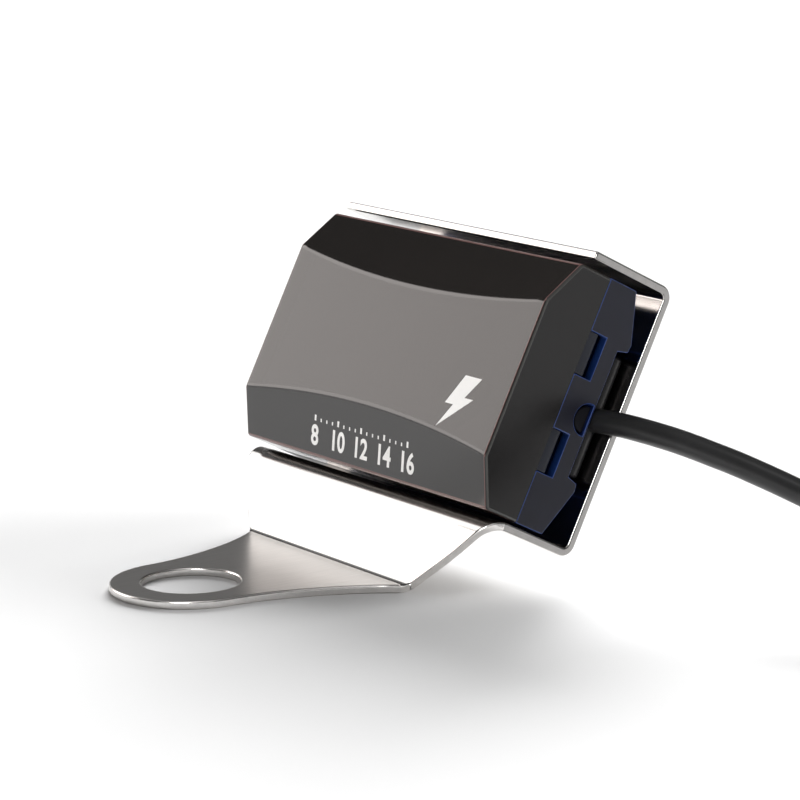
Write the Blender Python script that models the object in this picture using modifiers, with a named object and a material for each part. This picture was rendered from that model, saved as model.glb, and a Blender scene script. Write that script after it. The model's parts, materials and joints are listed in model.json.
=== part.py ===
"""Motorcycle digital voltmeter held in a bent stainless bracket with a mirror-stem tab.

Run it with: blender --background --python part.py, or from Blender's text editor.
Row frame: +X along the meter's width, towards the side where the cable leaves; the display
faces -Y, tilted back; +Z is up. The tab's underside lies on z = 0 and the origin is at the
bottom centre of the box round the meter and bracket.
The meter has its own frame, the empty meter_frame: x along the width, u up the display and n
out of the display, so a meter point (x, u, n) is the local point (x, -n, u) of that empty.
Sizes are in millimetres here and become metres when a mesh is made.
"""

import math

import bmesh
import bpy
from mathutils import Matrix, Vector

MM = 0.001
GAP = 0.3                      # clearance between neighbouring pieces
SEAT_GAP = 0.15                # clearance under a screw head or washer

# Housing: front cover and rear shell, split at n = 0
HOUSING_W = 48.0
HOUSING_H = 28.5
WALL = 1.2
COVER_EDGE_N = 4.35            # where the cover's straight rim ends
FACE_N = 7.2                   # plane of the display face
CREASE_U = 9.05                # height of the face's upper crease at its two ends
CREASE_SAG = 1.85              # how far the crease dips towards the middle
CAVITY_FLOOR_N = -3.25
SHELL_EDGE_N = -3.97
RIB_U, RIB_N = 8.6, -6.1       # tip of the ribs beside the back pocket
POCKET_U, POCKET_N = 7.35, -4.55
TONGUE_U = 5.65                # two locating tongues on each end of the cover's rim
TONGUE_W = 4.4
TONGUE_TIP_N = -1.75
NOTCH_DEPTH = 2.5
CABLE_NOTCH_U, CABLE_NOTCH_N, CABLE_NOTCH_R = -0.9, -4.05, 1.8
GROMMET_LENGTH = 2.6
SEAL_HALF_W, SEAL_HALF_H = 22.5, 12.75
SEAL_WIDTH, SEAL_HALF_DEPTH = 0.75, 0.9

# Bracket: one strip of sheet
SHEET = 0.95
BRACKET_HALF_W = 24.1
FLARE_LENGTH = 10.6            # along the strip, from full width to the foot of the ramp
FOOT_HALF_W = 16.2             # half width at the foot of the ramp
FOOT_TO_HOLE = 18.1            # along the strip, from the foot to the stem hole
SCREW_HOLE_R = 1.6             # two holes in the back for the block's M2.5 screws
TOP_OUTER_U = 16.2
BOTTOM_INNER_U = -14.65
BACK_INNER_N = -7.87
TOP_FRONT_N = 3.16
BEND_R = 1.1                   # middle radius of the two back bends
LIP_R = 2.5                    # middle radius of the rolled front lip
FOOT_R = 1.5                   # middle radius of the bend into the tab
RAMP_ANGLE = math.radians(58.5)
METER_TILT = math.radians(27.1)
METER_Z = 20.9                 # height of the meter frame above the tab's underside
FOOT_BACK = 15.2               # from the meter frame forward to the foot of the ramp
HOLE_AHEAD = 32.93             # from the meter frame forward to the stem hole
STEM_HOLE_D = 11.0             # clearance hole for an M10 mirror stem
TAB_END_R = 9.0
REACH_BACK = 14.69             # from the meter frame back to the bracket's rearmost bend
METER_Y = (HOLE_AHEAD + TAB_END_R - REACH_BACK) / 2.0

# Circuit board and display
PCB_W, PCB_H = 43.0, 24.0
PCB_FRONT_N, PCB_BACK_N = -0.4, -1.6
POST_X, POST_U = 19.6, 10.2    # four posts that the board is screwed to
POST_R, POST_BORE_R = 1.7, 0.95
BOARD_WIRE_U = -8.9            # where the two inner wires pass the board
LED_X, LED_W, LED_H = -5.6, 30.0, 12.8
LED_FRONT_N = 5.1
DIGIT_PITCH = 9.6
DIGIT_W, DIGIT_H, DIGIT_DEPTH = 7.8, 10.6, 1.0
MASK_HALF_W, MASK_HALF_H = 22.3, 9.3
MASK_BACK_N, MASK_FRONT_N = 4.2, 4.7

# Block behind the housing and its two screws
BLOCK_HALF_W = 22.4
BLOCK_FRONT_N = POCKET_N - GAP
BLOCK_BACK_N = BACK_INNER_N + GAP
BLOCK_EDGE_R = 1.25
SCREW_X = 13.0
INSERT_SEAT_R, INSERT_SEAT_DEPTH = 2.4, 4.6
WIRE_X, WIRE_U = 4.0, -0.9
WIRE_R, WIRE_HOLE_R = 0.42, 1.6

# Cable: 2.7 mm round lead, laid in a small coil of two turns side by side
CABLE_R = 1.35
COIL_CENTRE = (78.0, 27.0)
COIL_IN, COIL_OUT, COIL_H = 10.85, 16.25, 2.7
COIL_START = math.radians(118.0)
TAIL_R = 13.55                 # the tail, sleeve and cores lie on top of the coil
TAIL_BASE = COIL_H + GAP
SLEEVE_R = 1.75
CORE_R, CORE_SPREAD = 0.6, 0.85
LEAD_ROUTE = [
    (22.7, 18.67, 17.85), (26.2, 19.46, 17.82), (29.8, 20.41, 17.53), (33.9, 21.71, 16.93),
    (37.7, 23.14, 16.05), (41.4, 24.67, 15.03), (46.8, 27.28, 13.06), (51.57, 29.81, 10.9),
    (56.16, 32.25, 8.0), (60.57, 34.6, 5.2), (61.9, 35.3, 4.4),
]


def clear_scene():
    for obj in list(bpy.data.objects):
        bpy.data.objects.remove(obj, do_unlink=True)


def make_collection(name):
    collection = bpy.data.collections.new(name)
    bpy.context.scene.collection.children.link(collection)
    return collection


def material(name, colour, roughness, metallic=0.0):
    mat = bpy.data.materials.get(name)
    if mat is None:
        mat = bpy.data.materials.new(name)
        mat.use_nodes = True
        shader = mat.node_tree.nodes["Principled BSDF"]
        shader.inputs["Base Color"].default_value = (*colour, 1.0)
        shader.inputs["Roughness"].default_value = roughness
        shader.inputs["Metallic"].default_value = metallic
    return mat


clear_scene()
PARTS = make_collection("motorcycle_voltmeter")
CUTTERS = make_collection("cutters")

METER_FRAME = bpy.data.objects.new("meter_frame", None)
METER_FRAME.location = (0.0, METER_Y * MM, METER_Z * MM)
METER_FRAME.rotation_euler = (-METER_TILT, 0.0, 0.0)
PARTS.objects.link(METER_FRAME)

STEEL = material("stainless_sheet", (0.62, 0.61, 0.6), 0.28, 1.0)
FASTENER = material("zinc_steel", (0.55, 0.55, 0.55), 0.35, 1.0)
BRASS = material("brass", (0.7, 0.5, 0.2), 0.35, 1.0)
SMOKED = material("smoked_plastic", (0.05, 0.047, 0.045), 0.15)
NAVY = material("navy_plastic", (0.02, 0.022, 0.035), 0.3)
BLACK = material("black_plastic", (0.012, 0.012, 0.013), 0.45)
RUBBER = material("black_rubber", (0.015, 0.015, 0.016), 0.7)
CABLE_PVC = material("cable_jacket", (0.018, 0.018, 0.02), 0.5)
BOARD = material("circuit_board", (0.02, 0.12, 0.05), 0.5)
DIFFUSER = material("digit_diffuser", (0.55, 0.52, 0.5), 0.5)
CERAMIC = material("ceramic_chip", (0.35, 0.25, 0.16), 0.5)
ALUMINIUM = material("aluminium_can", (0.7, 0.7, 0.72), 0.3, 1.0)
RED_PVC = material("red_insulation", (0.5, 0.02, 0.02), 0.45)


# Shared helpers ------------------------------------------------------------------------------

def add(name, mesh, mat, in_meter=True, cutter=False):
    """Link a mesh as one named sub-part, or as a hidden cutter."""
    obj = bpy.data.objects.new(name, mesh)
    if cutter:
        obj.hide_render = True
        obj.display_type = "WIRE"
        CUTTERS.objects.link(obj)
    else:
        PARTS.objects.link(obj)
        obj.data.materials.append(mat)
    if in_meter:
        obj.parent = METER_FRAME
    return obj


def finish_mesh(name, bm):
    bmesh.ops.recalc_face_normals(bm, faces=bm.faces)
    mesh = bpy.data.meshes.new(name)
    bm.to_mesh(mesh)
    bm.free()
    return mesh


def meter_point(x, u, n):
    return Vector((x * MM, -n * MM, u * MM))


def box_mesh(name, x, u, n):
    """Box between the limits (low, high) given along x, u and n of the meter frame."""
    low, high = meter_point(x[0], u[0], n[1]), meter_point(x[1], u[1], n[0])
    bm = bmesh.new()
    bmesh.ops.create_cube(bm, size=1.0)
    bmesh.ops.scale(bm, vec=high - low, verts=bm.verts)
    bmesh.ops.translate(bm, vec=(low + high) / 2.0, verts=bm.verts)
    return finish_mesh(name, bm)


AXIS_TURN = {
    "x": Matrix.Rotation(math.radians(90), 4, "Y"),
    "n": Matrix.Rotation(math.radians(90), 4, "X"),
    "z": Matrix.Identity(4),
}


def cylinder_mesh(name, radius, depth, centre, axis, segments=24):
    bm = bmesh.new()
    bmesh.ops.create_cone(bm, cap_ends=True, segments=segments, radius1=radius * MM,
                          radius2=radius * MM, depth=depth * MM)
    bm.transform(Matrix.Translation(centre) @ AXIS_TURN[axis])
    return finish_mesh(name, bm)


def outline_mesh(name, outline, thickness):
    """Solid plate from a flat closed outline."""
    curve = bpy.data.curves.new(name, "CURVE")
    curve.dimensions = "2D"
    curve.fill_mode = "BOTH"
    curve.extrude = thickness * MM / 2.0
    spline = curve.splines.new("POLY")
    spline.points.add(len(outline) - 1)
    for point, (a, b) in zip(spline.points, outline):
        point.co = (a * MM, b * MM, 0.0, 1.0)
    spline.use_cyclic_u = True
    return curve_to_mesh(name, curve)


def curve_to_mesh(name, curve):
    """Mesh of a curve with its caps welded; the curve object is removed."""
    holder = bpy.data.objects.new(name + "_curve", curve)
    bpy.context.scene.collection.objects.link(holder)
    bpy.context.view_layer.update()
    graph = bpy.context.evaluated_depsgraph_get()
    mesh = bpy.data.meshes.new_from_object(holder.evaluated_get(graph))
    bpy.data.objects.remove(holder, do_unlink=True)
    bm = bmesh.new()
    bm.from_mesh(mesh)
    bmesh.ops.remove_doubles(bm, verts=bm.verts, dist=0.000002)
    return finish_mesh(name, bm)


def boolean(obj, cutter, operation="DIFFERENCE"):
    modifier = obj.modifiers.new(operation.lower(), "BOOLEAN")
    modifier.operation = operation
    modifier.object = cutter
    modifier.solver = "EXACT"


def cut_box(obj, name, x, u, n):
    boolean(obj, add(name, box_mesh(name, x, u, n), None, cutter=True))


def cut_round(obj, name, radius, depth, centre, axis, in_meter=True, segments=24):
    mesh = cylinder_mesh(name, radius, depth, centre, axis, segments)
    boolean(obj, add(name, mesh, None, in_meter=in_meter, cutter=True))


def round_part(obj, angle=30.0):
    obj.data.shade_smooth()
    obj.data.set_sharp_from_angle(angle=math.radians(angle))


def turned(name, profile, mat, centre, axis, steps=24):
    """Turned piece: (radius, height) points, top to bottom on its outer side; a profile that
    doesn't start on the axis is a ring and closes on itself."""
    bm = bmesh.new()
    verts = [bm.verts.new((r * MM, 0.0, h * MM)) for r, h in profile]
    for a, b in zip(verts, verts[1:]):
        bm.edges.new((a, b))
    if profile[0][0] > 0.0:
        bm.edges.new((verts[-1], verts[0]))
    mesh = bpy.data.meshes.new(name)
    bm.to_mesh(mesh)
    bm.free()
    obj = add(name, mesh, mat, in_meter=axis != "z")
    obj.location = centre
    if axis == "n":
        obj.rotation_euler = (math.radians(90), 0.0, 0.0)
    screw = obj.modifiers.new("turn", "SCREW")
    screw.axis = "Z"
    screw.steps = steps
    screw.render_steps = steps
    screw.use_merge_vertices = True
    screw.merge_threshold = 0.00001
    screw.use_smooth_shade = True
    return obj


def smooth_route(points, samples):
    """Points at even steps along a smooth curve through the route's own points."""
    knots = [Vector(p) for p in points]
    knots = [2 * knots[0] - knots[1]] + knots + [2 * knots[-1] - knots[-2]]
    dense = []
    for p0, p1, p2, p3 in zip(knots, knots[1:], knots[2:], knots[3:]):
        for step in range(12):
            t = step / 12.0
            dense.append(0.5 * (2 * p1 + (p2 - p0) * t + (2 * p0 - 5 * p1 + 4 * p2 - p3) * t ** 2
                                + (3 * p1 - p0 - 3 * p2 + p3) * t ** 3))
    dense.append(knots[-2])
    lengths = [0.0]
    for a, b in zip(dense, dense[1:]):
        lengths.append(lengths[-1] + (b - a).length)
    result = []
    index = 0
    for step in range(samples):
        target = lengths[-1] * step / (samples - 1)
        while index < len(lengths) - 2 and lengths[index + 1] < target:
            index += 1
        share = (target - lengths[index]) / (lengths[index + 1] - lengths[index])
        result.append(dense[index].lerp(dense[index + 1], min(share, 1.0)))
    return result


def tube(name, points, radius, mat, in_meter=False, resolution=2):
    """Tube along the given points (mm), with closed ends."""
    curve = bpy.data.curves.new(name, "CURVE")
    curve.dimensions = "3D"
    curve.bevel_depth = radius * MM
    curve.bevel_resolution = resolution
    curve.use_fill_caps = True
    spline = curve.splines.new("POLY")
    spline.points.add(len(points) - 1)
    for point, co in zip(spline.points, points):
        point.co = (co[0] * MM, co[1] * MM, co[2] * MM, 1.0)
    obj = add(name, curve_to_mesh(name, curve), mat, in_meter=in_meter)
    round_part(obj, 50.0)
    return obj


def bezier(p0, p1, p2, p3, count):
    """Points of one cubic curve, without its last point."""
    points = []
    for step in range(count):
        t = step / count
        weights = ((1 - t) ** 3, 3 * t * (1 - t) ** 2, 3 * t * t * (1 - t), t ** 3)
        points.append(tuple(sum(w * p[k] for w, p in zip(weights, (p0, p1, p2, p3)))
                            for k in (0, 1)))
    return points


# Bracket -------------------------------------------------------------------------------------

def to_world(u, n):
    """World (y, z) of a point of the meter frame, in mm."""
    return (METER_Y - n * math.cos(METER_TILT) + u * math.sin(METER_TILT),
            METER_Z + n * math.sin(METER_TILT) + u * math.cos(METER_TILT))


def meet(point_a, direction_a, point_b, direction_b):
    """Crossing point of two lines in the side plane."""
    cross = direction_a[0] * direction_b[1] - direction_a[1] * direction_b[0]
    dy, dz = point_b[0] - point_a[0], point_b[1] - point_a[1]
    along = (dy * direction_b[1] - dz * direction_b[0]) / cross
    return (point_a[0] + along * direction_a[0], point_a[1] + along * direction_a[1])


def rounded_line(corners, radii, steps=7):
    """Polyline with each inner corner replaced by an arc of the given radius."""
    points = [Vector(corners[0])]
    for before, corner, after, radius in zip(corners, corners[1:], corners[2:], radii):
        corner = Vector(corner)
        back = (Vector(before) - corner).normalized()
        ahead = (Vector(after) - corner).normalized()
        half = back.angle(ahead) / 2.0
        centre = corner + (back + ahead).normalized() * radius / math.sin(half)
        start = corner + back * radius / math.tan(half) - centre
        end = corner + ahead * radius / math.tan(half) - centre
        sweep = start.angle_signed(end)
        for step in range(steps + 1):
            turn = Matrix.Rotation(-sweep * step / steps, 2)
            points.append(centre + turn @ start)
    points.append(Vector(corners[-1]))
    return points


def offset_line(middle, distance):
    """Line at an even distance beside a middle line, with mitred corners."""
    shifted = []
    for index, point in enumerate(middle):
        before = middle[max(index - 1, 0)]
        after = middle[min(index + 1, len(middle) - 1)]
        into = (point - before).normalized() if index else (after - point).normalized()
        out = (after - point).normalized() if index < len(middle) - 1 else into
        normal = Vector((-(into + out).y, (into + out).x)).normalized()
        shifted.append(point + normal * distance / normal.dot(Vector((-into.y, into.x))))
    return shifted


def bracket_line():
    """Middle line of the sheet in the side plane, from the top flange to the end of the tab."""
    half = SHEET / 2.0
    top_front = to_world(TOP_OUTER_U - half, TOP_FRONT_N)
    top_back = to_world(TOP_OUTER_U - half, BACK_INNER_N - half)
    bottom_back = to_world(BOTTOM_INNER_U - half, BACK_INNER_N - half)
    flange = (-math.cos(METER_TILT), math.sin(METER_TILT))
    ramp = (-math.cos(RAMP_ANGLE), -math.sin(RAMP_ANGLE))
    foot = (METER_Y - FOOT_BACK + half * math.tan(RAMP_ANGLE / 2.0), half)
    lip = meet(bottom_back, flange, foot, ramp)
    end = (METER_Y - HOLE_AHEAD - TAB_END_R, half)
    return rounded_line([top_front, top_back, bottom_back, lip, foot, end],
                        [BEND_R, BEND_R, LIP_R, FOOT_R])


def blank_outline(length):
    """Flat blank (x, distance along the strip): full width, flaring in to the round tab."""
    hole = length - TAB_END_R
    foot = hole - FOOT_TO_HOLE
    flare = foot - FLARE_LENGTH
    side = [(BRACKET_HALF_W, 0.0)]
    side += bezier((BRACKET_HALF_W, flare), (BRACKET_HALF_W, flare + 2.8),
                   (FOOT_HALF_W + 2.7, foot - 2.9), (FOOT_HALF_W, foot), 10)
    side += bezier((FOOT_HALF_W, foot), (FOOT_HALF_W - 3.5, foot + 3.7),
                   (TAB_END_R + 0.2, hole - 6.4), (TAB_END_R, hole), 12)
    for step in range(13):
        angle = math.pi / 2.0 * step / 13
        side.append((TAB_END_R * math.cos(angle), hole + TAB_END_R * math.sin(angle)))
    return side + [(0.0, length)] + [(-x, at) for x, at in reversed(side)]


def bend_blank(blank, middle):
    """Mesh of the flat blank, cut at every station of the middle line and bent along it."""
    stations = [0.0]
    for a, b in zip(middle, middle[1:]):
        stations.append(stations[-1] + (b - a).length)
    upper = offset_line(middle, SHEET / 2.0)
    lower = offset_line(middle, -SHEET / 2.0)
    bm = bmesh.new()
    bm.from_mesh(blank)
    for at in stations[1:-1]:
        bmesh.ops.bisect_plane(bm, geom=bm.verts[:] + bm.edges[:] + bm.faces[:],
                               plane_co=(0.0, at * MM, 0.0), plane_no=(0.0, 1.0, 0.0))
    for vert in bm.verts:
        at = vert.co.y / MM
        index = 0
        while index < len(stations) - 2 and stations[index + 1] < at:
            index += 1
        share = (at - stations[index]) / (stations[index + 1] - stations[index])
        line = upper if vert.co.z > 0.0 else lower
        place = line[index].lerp(line[index + 1], share)
        vert.co = (vert.co.x, place.x * MM, place.y * MM)
    return finish_mesh("bracket", bm)


def make_bracket():
    middle = bracket_line()
    length = sum((b - a).length for a, b in zip(middle, middle[1:]))
    blank = outline_mesh("blank", blank_outline(length), SHEET)
    bracket = add("bracket", bend_blank(blank, middle), STEEL, in_meter=False)
    stem = Vector((0.0, (METER_Y - HOLE_AHEAD) * MM, 0.0))
    cut_round(bracket, "stem_hole", STEM_HOLE_D / 2.0, 6.0, stem, "z", in_meter=False,
              segments=48)
    for side in (-1, 1):
        cut_round(bracket, "back_hole_%d" % side, SCREW_HOLE_R, 4.0,
                  meter_point(side * SCREW_X, 0.0, BACK_INNER_N), "n")
    round_part(bracket)


# Housing -------------------------------------------------------------------------------------

def crease(x, inset=0.0):
    """Height of the face's upper crease at x."""
    share = x / (HOUSING_W / 2.0)
    return CREASE_U - CREASE_SAG * (1.0 - share * share) - inset


def cover_section(x, inset, rim_n):
    """Section of the cover at x, as a ring of meter points; inset gives its inner surface."""
    edge_u = HOUSING_H / 2.0 - inset
    edge_n = COVER_EDGE_N - 0.55 * inset
    face_n = FACE_N - inset
    face_u = crease(x, 0.45 * inset)
    ring = [(edge_u, rim_n), (edge_u, edge_n), (face_u, face_n), (0.0, face_n)]
    ring += [(-face_u, face_n), (-edge_u, edge_n), (-edge_u, rim_n)]
    return [meter_point(x, u, n) for u, n in ring]


def loft(name, sections):
    """Closed solid through rings that all have the same number of points."""
    bm = bmesh.new()
    rings = [[bm.verts.new(p) for p in section] for section in sections]
    for ring, following in zip(rings, rings[1:]):
        for k in range(len(ring)):
            other = (k + 1) % len(ring)
            bm.faces.new((ring[k], ring[other], following[other], following[k]))
    bm.faces.new(rings[0][::-1])
    bm.faces.new(rings[-1])
    return finish_mesh(name, bm)


def tongue_mesh(side, u):
    """Locating tongue on the cover's rim, thinner towards its free end."""
    x_in, x_out, x_tip = 22.95 * side, 23.92 * side, 23.4 * side
    low, high = u - TONGUE_W / 2.0, u + TONGUE_W / 2.0
    root_n = GAP / 2.0 + 0.55
    section = [(x_in, root_n), (x_out, root_n), (x_out, 0.0), (x_tip, TONGUE_TIP_N),
               (x_in, TONGUE_TIP_N)]
    return loft("tongue", [[meter_point(x, at, n) for x, n in section] for at in (low, high)])


def make_front_cover():
    half = HOUSING_W / 2.0
    stations = [half * k / 8.0 for k in range(-8, 9)]
    outer = loft("front_cover", [cover_section(x, 0.0, GAP / 2.0) for x in stations])
    cover = add("front_cover", outer, SMOKED)
    inside = half - WALL
    stations = [inside * k / 8.0 for k in range(-8, 9)]
    inner = loft("cover_cavity", [cover_section(x, WALL, -2.0) for x in stations])
    boolean(cover, add("cover_cavity", inner, None, cutter=True))
    for side in (-1, 1):
        for level in (-1, 1):
            mesh = tongue_mesh(side, level * TONGUE_U)
            name = "tongue_%d_%d" % (side, level)
            boolean(cover, add(name, mesh, None, cutter=True), "UNION")


def make_rear_shell():
    half = HOUSING_W / 2.0
    rim = -GAP / 2.0
    upper = [(HOUSING_H / 2.0, rim), (HOUSING_H / 2.0, SHELL_EDGE_N), (RIB_U, RIB_N),
             (POCKET_U + 0.35, RIB_N + 0.15), (POCKET_U, POCKET_N)]
    section = upper + [(-u, n) for u, n in reversed(upper)]
    mesh = loft("rear_shell", [[meter_point(x, u, n) for u, n in section] for x in (-half, half)])
    shell = add("rear_shell", mesh, NAVY)
    cut_box(shell, "shell_cavity", (-half + WALL, half - WALL),
            (-HOUSING_H / 2.0 + WALL, HOUSING_H / 2.0 - WALL), (CAVITY_FLOOR_N, 1.0))
    post_top, post_root = PCB_BACK_N - GAP, CAVITY_FLOOR_N - 0.5
    for side in (-1, 1):
        for level in (-1, 1):
            middle = level * TONGUE_U
            x = sorted((side * (half - WALL - 0.5), side * (half + 1.0)))
            cut_box(shell, "rim_notch_%d_%d" % (side, level), x,
                    (middle - TONGUE_W / 2.0 - GAP, middle + TONGUE_W / 2.0 + GAP),
                    (-NOTCH_DEPTH, 1.0))
            post = cylinder_mesh("post_%d_%d" % (side, level), POST_R, post_top - post_root,
                                 meter_point(side * POST_X, level * POST_U,
                                             (post_top + post_root) / 2.0), "n")
            boolean(shell, add("post_%d_%d" % (side, level), post, None, cutter=True), "UNION")
            cut_round(shell, "post_bore_%d_%d" % (side, level), POST_BORE_R, 2.0,
                      meter_point(side * POST_X, level * POST_U, post_top - 0.5), "n")
    cut_round(shell, "cable_notch", CABLE_NOTCH_R, 6.4,
              meter_point(half, CABLE_NOTCH_U, CABLE_NOTCH_N), "x")
    cut_round(shell, "wire_hole", WIRE_HOLE_R, 4.0, meter_point(WIRE_X, WIRE_U, POCKET_N), "n")


def make_grommet():
    """Half-round rubber plug that closes the cable notch in the shell's side."""
    middle_x = HOUSING_W / 2.0 - GAP - GROMMET_LENGTH / 2.0
    mesh = cylinder_mesh("notch_grommet", CABLE_NOTCH_R - GAP, GROMMET_LENGTH,
                         meter_point(middle_x, CABLE_NOTCH_U, CABLE_NOTCH_N), "x")
    grommet = add("notch_grommet", mesh, NAVY)
    cut_box(grommet, "grommet_back", (10.0, 30.0), (-5.0, 5.0), (-8.0, POCKET_N + GAP))
    round_part(grommet)


def make_seal():
    """Rectangular rubber ring inside the walls, across the seam."""
    mesh = box_mesh("seal_gasket", (-SEAL_HALF_W, SEAL_HALF_W), (-SEAL_HALF_H, SEAL_HALF_H),
                    (-SEAL_HALF_DEPTH, SEAL_HALF_DEPTH))
    seal = add("seal_gasket", mesh, RUBBER)
    window_x, window_u = SEAL_HALF_W - SEAL_WIDTH, SEAL_HALF_H - SEAL_WIDTH
    cut_box(seal, "seal_window", (-window_x, window_x), (-window_u, window_u), (-3.0, 3.0))


def rounded_end_block():
    """Plan of the rear block in x and n, with its two ends rounded."""
    corners = [(BLOCK_HALF_W, BLOCK_FRONT_N), (-BLOCK_HALF_W, BLOCK_FRONT_N),
               (-BLOCK_HALF_W, BLOCK_BACK_N), (BLOCK_HALF_W, BLOCK_BACK_N)]
    points = []
    for index, (x, n) in enumerate(corners):
        inward_n = -1 if n == BLOCK_FRONT_N else 1
        centre_x = x - math.copysign(BLOCK_EDGE_R, x)
        centre_n = n + inward_n * BLOCK_EDGE_R
        for step in range(6):
            angle = math.pi / 2.0 * (index + step / 5)
            points.append((centre_x + BLOCK_EDGE_R * math.cos(angle),
                           centre_n + BLOCK_EDGE_R * math.sin(angle)))
    return points


def make_rear_block():
    half_u = POCKET_U - GAP
    section = rounded_end_block()
    mesh = loft("rear_block", [[meter_point(x, u, n) for x, n in section]
                               for u in (-half_u, half_u)])
    block = add("rear_block", mesh, BLACK)
    for side in (-1, 1):
        cut_round(block, "insert_seat_%d" % side, INSERT_SEAT_R, INSERT_SEAT_DEPTH,
                  meter_point(side * SCREW_X, 0.0, BLOCK_BACK_N), "n")
    cut_round(block, "wire_seat", WIRE_HOLE_R, 2.0, meter_point(WIRE_X, WIRE_U, BLOCK_FRONT_N),
              "n")


# Display and circuit board -------------------------------------------------------------------

def make_board():
    mesh = box_mesh("circuit_board", (-PCB_W / 2.0, PCB_W / 2.0), (-PCB_H / 2.0, PCB_H / 2.0),
                    (PCB_BACK_N, PCB_FRONT_N))
    board = add("circuit_board", mesh, BOARD)
    for side in (-1, 1):
        for level in (-1, 1):
            cut_round(board, "board_hole_%d_%d" % (side, level), POST_BORE_R, 3.0,
                      meter_point(side * POST_X, level * POST_U, PCB_BACK_N), "n")
    cut_round(board, "board_wire_hole", 1.3, 3.0, meter_point(WIRE_X, BOARD_WIRE_U, PCB_BACK_N),
              "n")


def board_part(name, x, u, size, front, mat):
    """Component box on the front or the back of the board; size is (x, u, height)."""
    if front:
        n = (PCB_FRONT_N + GAP, PCB_FRONT_N + GAP + size[2])
    else:
        n = (PCB_BACK_N - GAP - size[2], PCB_BACK_N - GAP)
    mesh = box_mesh(name, (x - size[0] / 2.0, x + size[0] / 2.0),
                    (u - size[1] / 2.0, u + size[1] / 2.0), n)
    return add(name, mesh, mat)


def make_components():
    board_part("microcontroller", -9.0, 0.0, (10.2, 5.4, 1.0), False, BLACK)
    for k in range(3):
        board_part("digit_driver_%d" % (k + 1), -15.0 + 5.5 * k, -7.0, (2.9, 1.5, 0.9), False,
                   BLACK)
    board_part("voltage_regulator", 15.6, -2.6, (4.5, 2.6, 1.5), True, BLACK)
    board_part("input_diode", 15.6, -6.9, (4.3, 2.6, 2.1), True, BLACK)
    for k in range(2):
        board_part("ceramic_capacitor_%d" % (k + 1), 12.6 + 3.6 * k, 8.6, (2.0, 1.25, 0.9), True,
                   CERAMIC)
        board_part("divider_resistor_%d" % (k + 1), 11.5 + 3.4 * k, 6.0, (2.0, 1.25, 0.55), False,
                   BLACK)
    base = PCB_FRONT_N + GAP
    turned("smoothing_capacitor", [(0.0, 3.9), (1.75, 3.9), (2.0, 3.7), (2.0, 1.0), (1.8, 0.8),
                                   (1.8, 0.65), (2.0, 0.45), (2.0, 0.0), (0.0, 0.0)],
           ALUMINIUM, meter_point(15.6, 3.2, base), "n", steps=20)


def make_display():
    base = PCB_FRONT_N + GAP
    mesh = box_mesh("display_body", (LED_X - LED_W / 2.0, LED_X + LED_W / 2.0),
                    (-LED_H / 2.0, LED_H / 2.0), (base, LED_FRONT_N))
    body = add("display_body", mesh, BLACK)
    for k in range(3):
        middle = LED_X + (k - 1) * DIGIT_PITCH
        half_w, half_h = DIGIT_W / 2.0, DIGIT_H / 2.0
        cut_box(body, "digit_pocket_%d" % k, (middle - half_w - GAP, middle + half_w + GAP),
                (-half_h - GAP, half_h + GAP), (LED_FRONT_N - DIGIT_DEPTH - GAP, LED_FRONT_N + 1.0))
        mesh = box_mesh("digit_%d" % (k + 1), (middle - half_w, middle + half_w),
                        (-half_h, half_h), (LED_FRONT_N - DIGIT_DEPTH, LED_FRONT_N))
        add("digit_%d" % (k + 1), mesh, DIFFUSER)
    mesh = box_mesh("display_mask", (-MASK_HALF_W, MASK_HALF_W), (-MASK_HALF_H, MASK_HALF_H),
                    (MASK_BACK_N, MASK_FRONT_N))
    mask = add("display_mask", mesh, BLACK)
    cut_box(mask, "mask_window", (LED_X - LED_W / 2.0 - GAP, LED_X + LED_W / 2.0 + GAP),
            (-LED_H / 2.0 - GAP, LED_H / 2.0 + GAP), (3.0, 6.0))


# Fasteners -----------------------------------------------------------------------------------

def make_fasteners():
    for index, (side, level) in enumerate(((-1, -1), (1, -1), (-1, 1), (1, 1))):
        centre = meter_point(side * POST_X, level * POST_U, PCB_FRONT_N + GAP)
        turned("board_screw_%d" % (index + 1),
               [(0.0, 0.75), (0.9, 0.7), (1.25, 0.45), (1.25, 0.0), (0.6, 0.0), (0.6, -2.4),
                (0.0, -2.4)], FASTENER, centre, "n", steps=16)
    for name, side in (("left", -1), ("right", 1)):
        washer_n = BACK_INNER_N - SHEET - SEAT_GAP
        add_back_turned("lock_washer_" + name, [(2.3, 0.5), (2.3, 0.0), (1.6, 0.0), (1.6, 0.5)],
                        FASTENER, side, washer_n)
        head_n = washer_n - 0.5 - SEAT_GAP
        add_back_turned("bracket_screw_" + name,
                        [(0.0, 1.6), (1.4, 1.55), (2.1, 1.1), (2.25, 0.6), (2.25, 0.0),
                         (1.25, 0.0), (1.25, -3.9), (0.0, -3.9)], FASTENER, side, head_n,
                        recess=True)
        add_back_turned("threaded_insert_" + name,
                        [(2.1, 0.0), (2.1, -1.75), (1.55, -1.75), (1.55, 0.0)], BRASS, side,
                        BLOCK_BACK_N - 0.05)


def add_back_turned(name, profile, mat, side, n, recess=False):
    """Turned fastener whose own +Z points out of the bracket's back."""
    obj = turned(name, profile, mat, meter_point(side * SCREW_X, 0.0, n), "n", steps=20)
    obj.rotation_euler = (math.radians(-90), 0.0, 0.0)
    if recess:
        for k, size in enumerate(((2.4, 0.6), (0.6, 2.4))):
            cut_box(obj, name + "_cross_%d" % k,
                    (side * SCREW_X - size[0] / 2.0, side * SCREW_X + size[0] / 2.0),
                    (-size[1] / 2.0, size[1] / 2.0), (n - 3.0, n - 0.8))
    return obj


# Wires and cable -----------------------------------------------------------------------------

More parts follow.
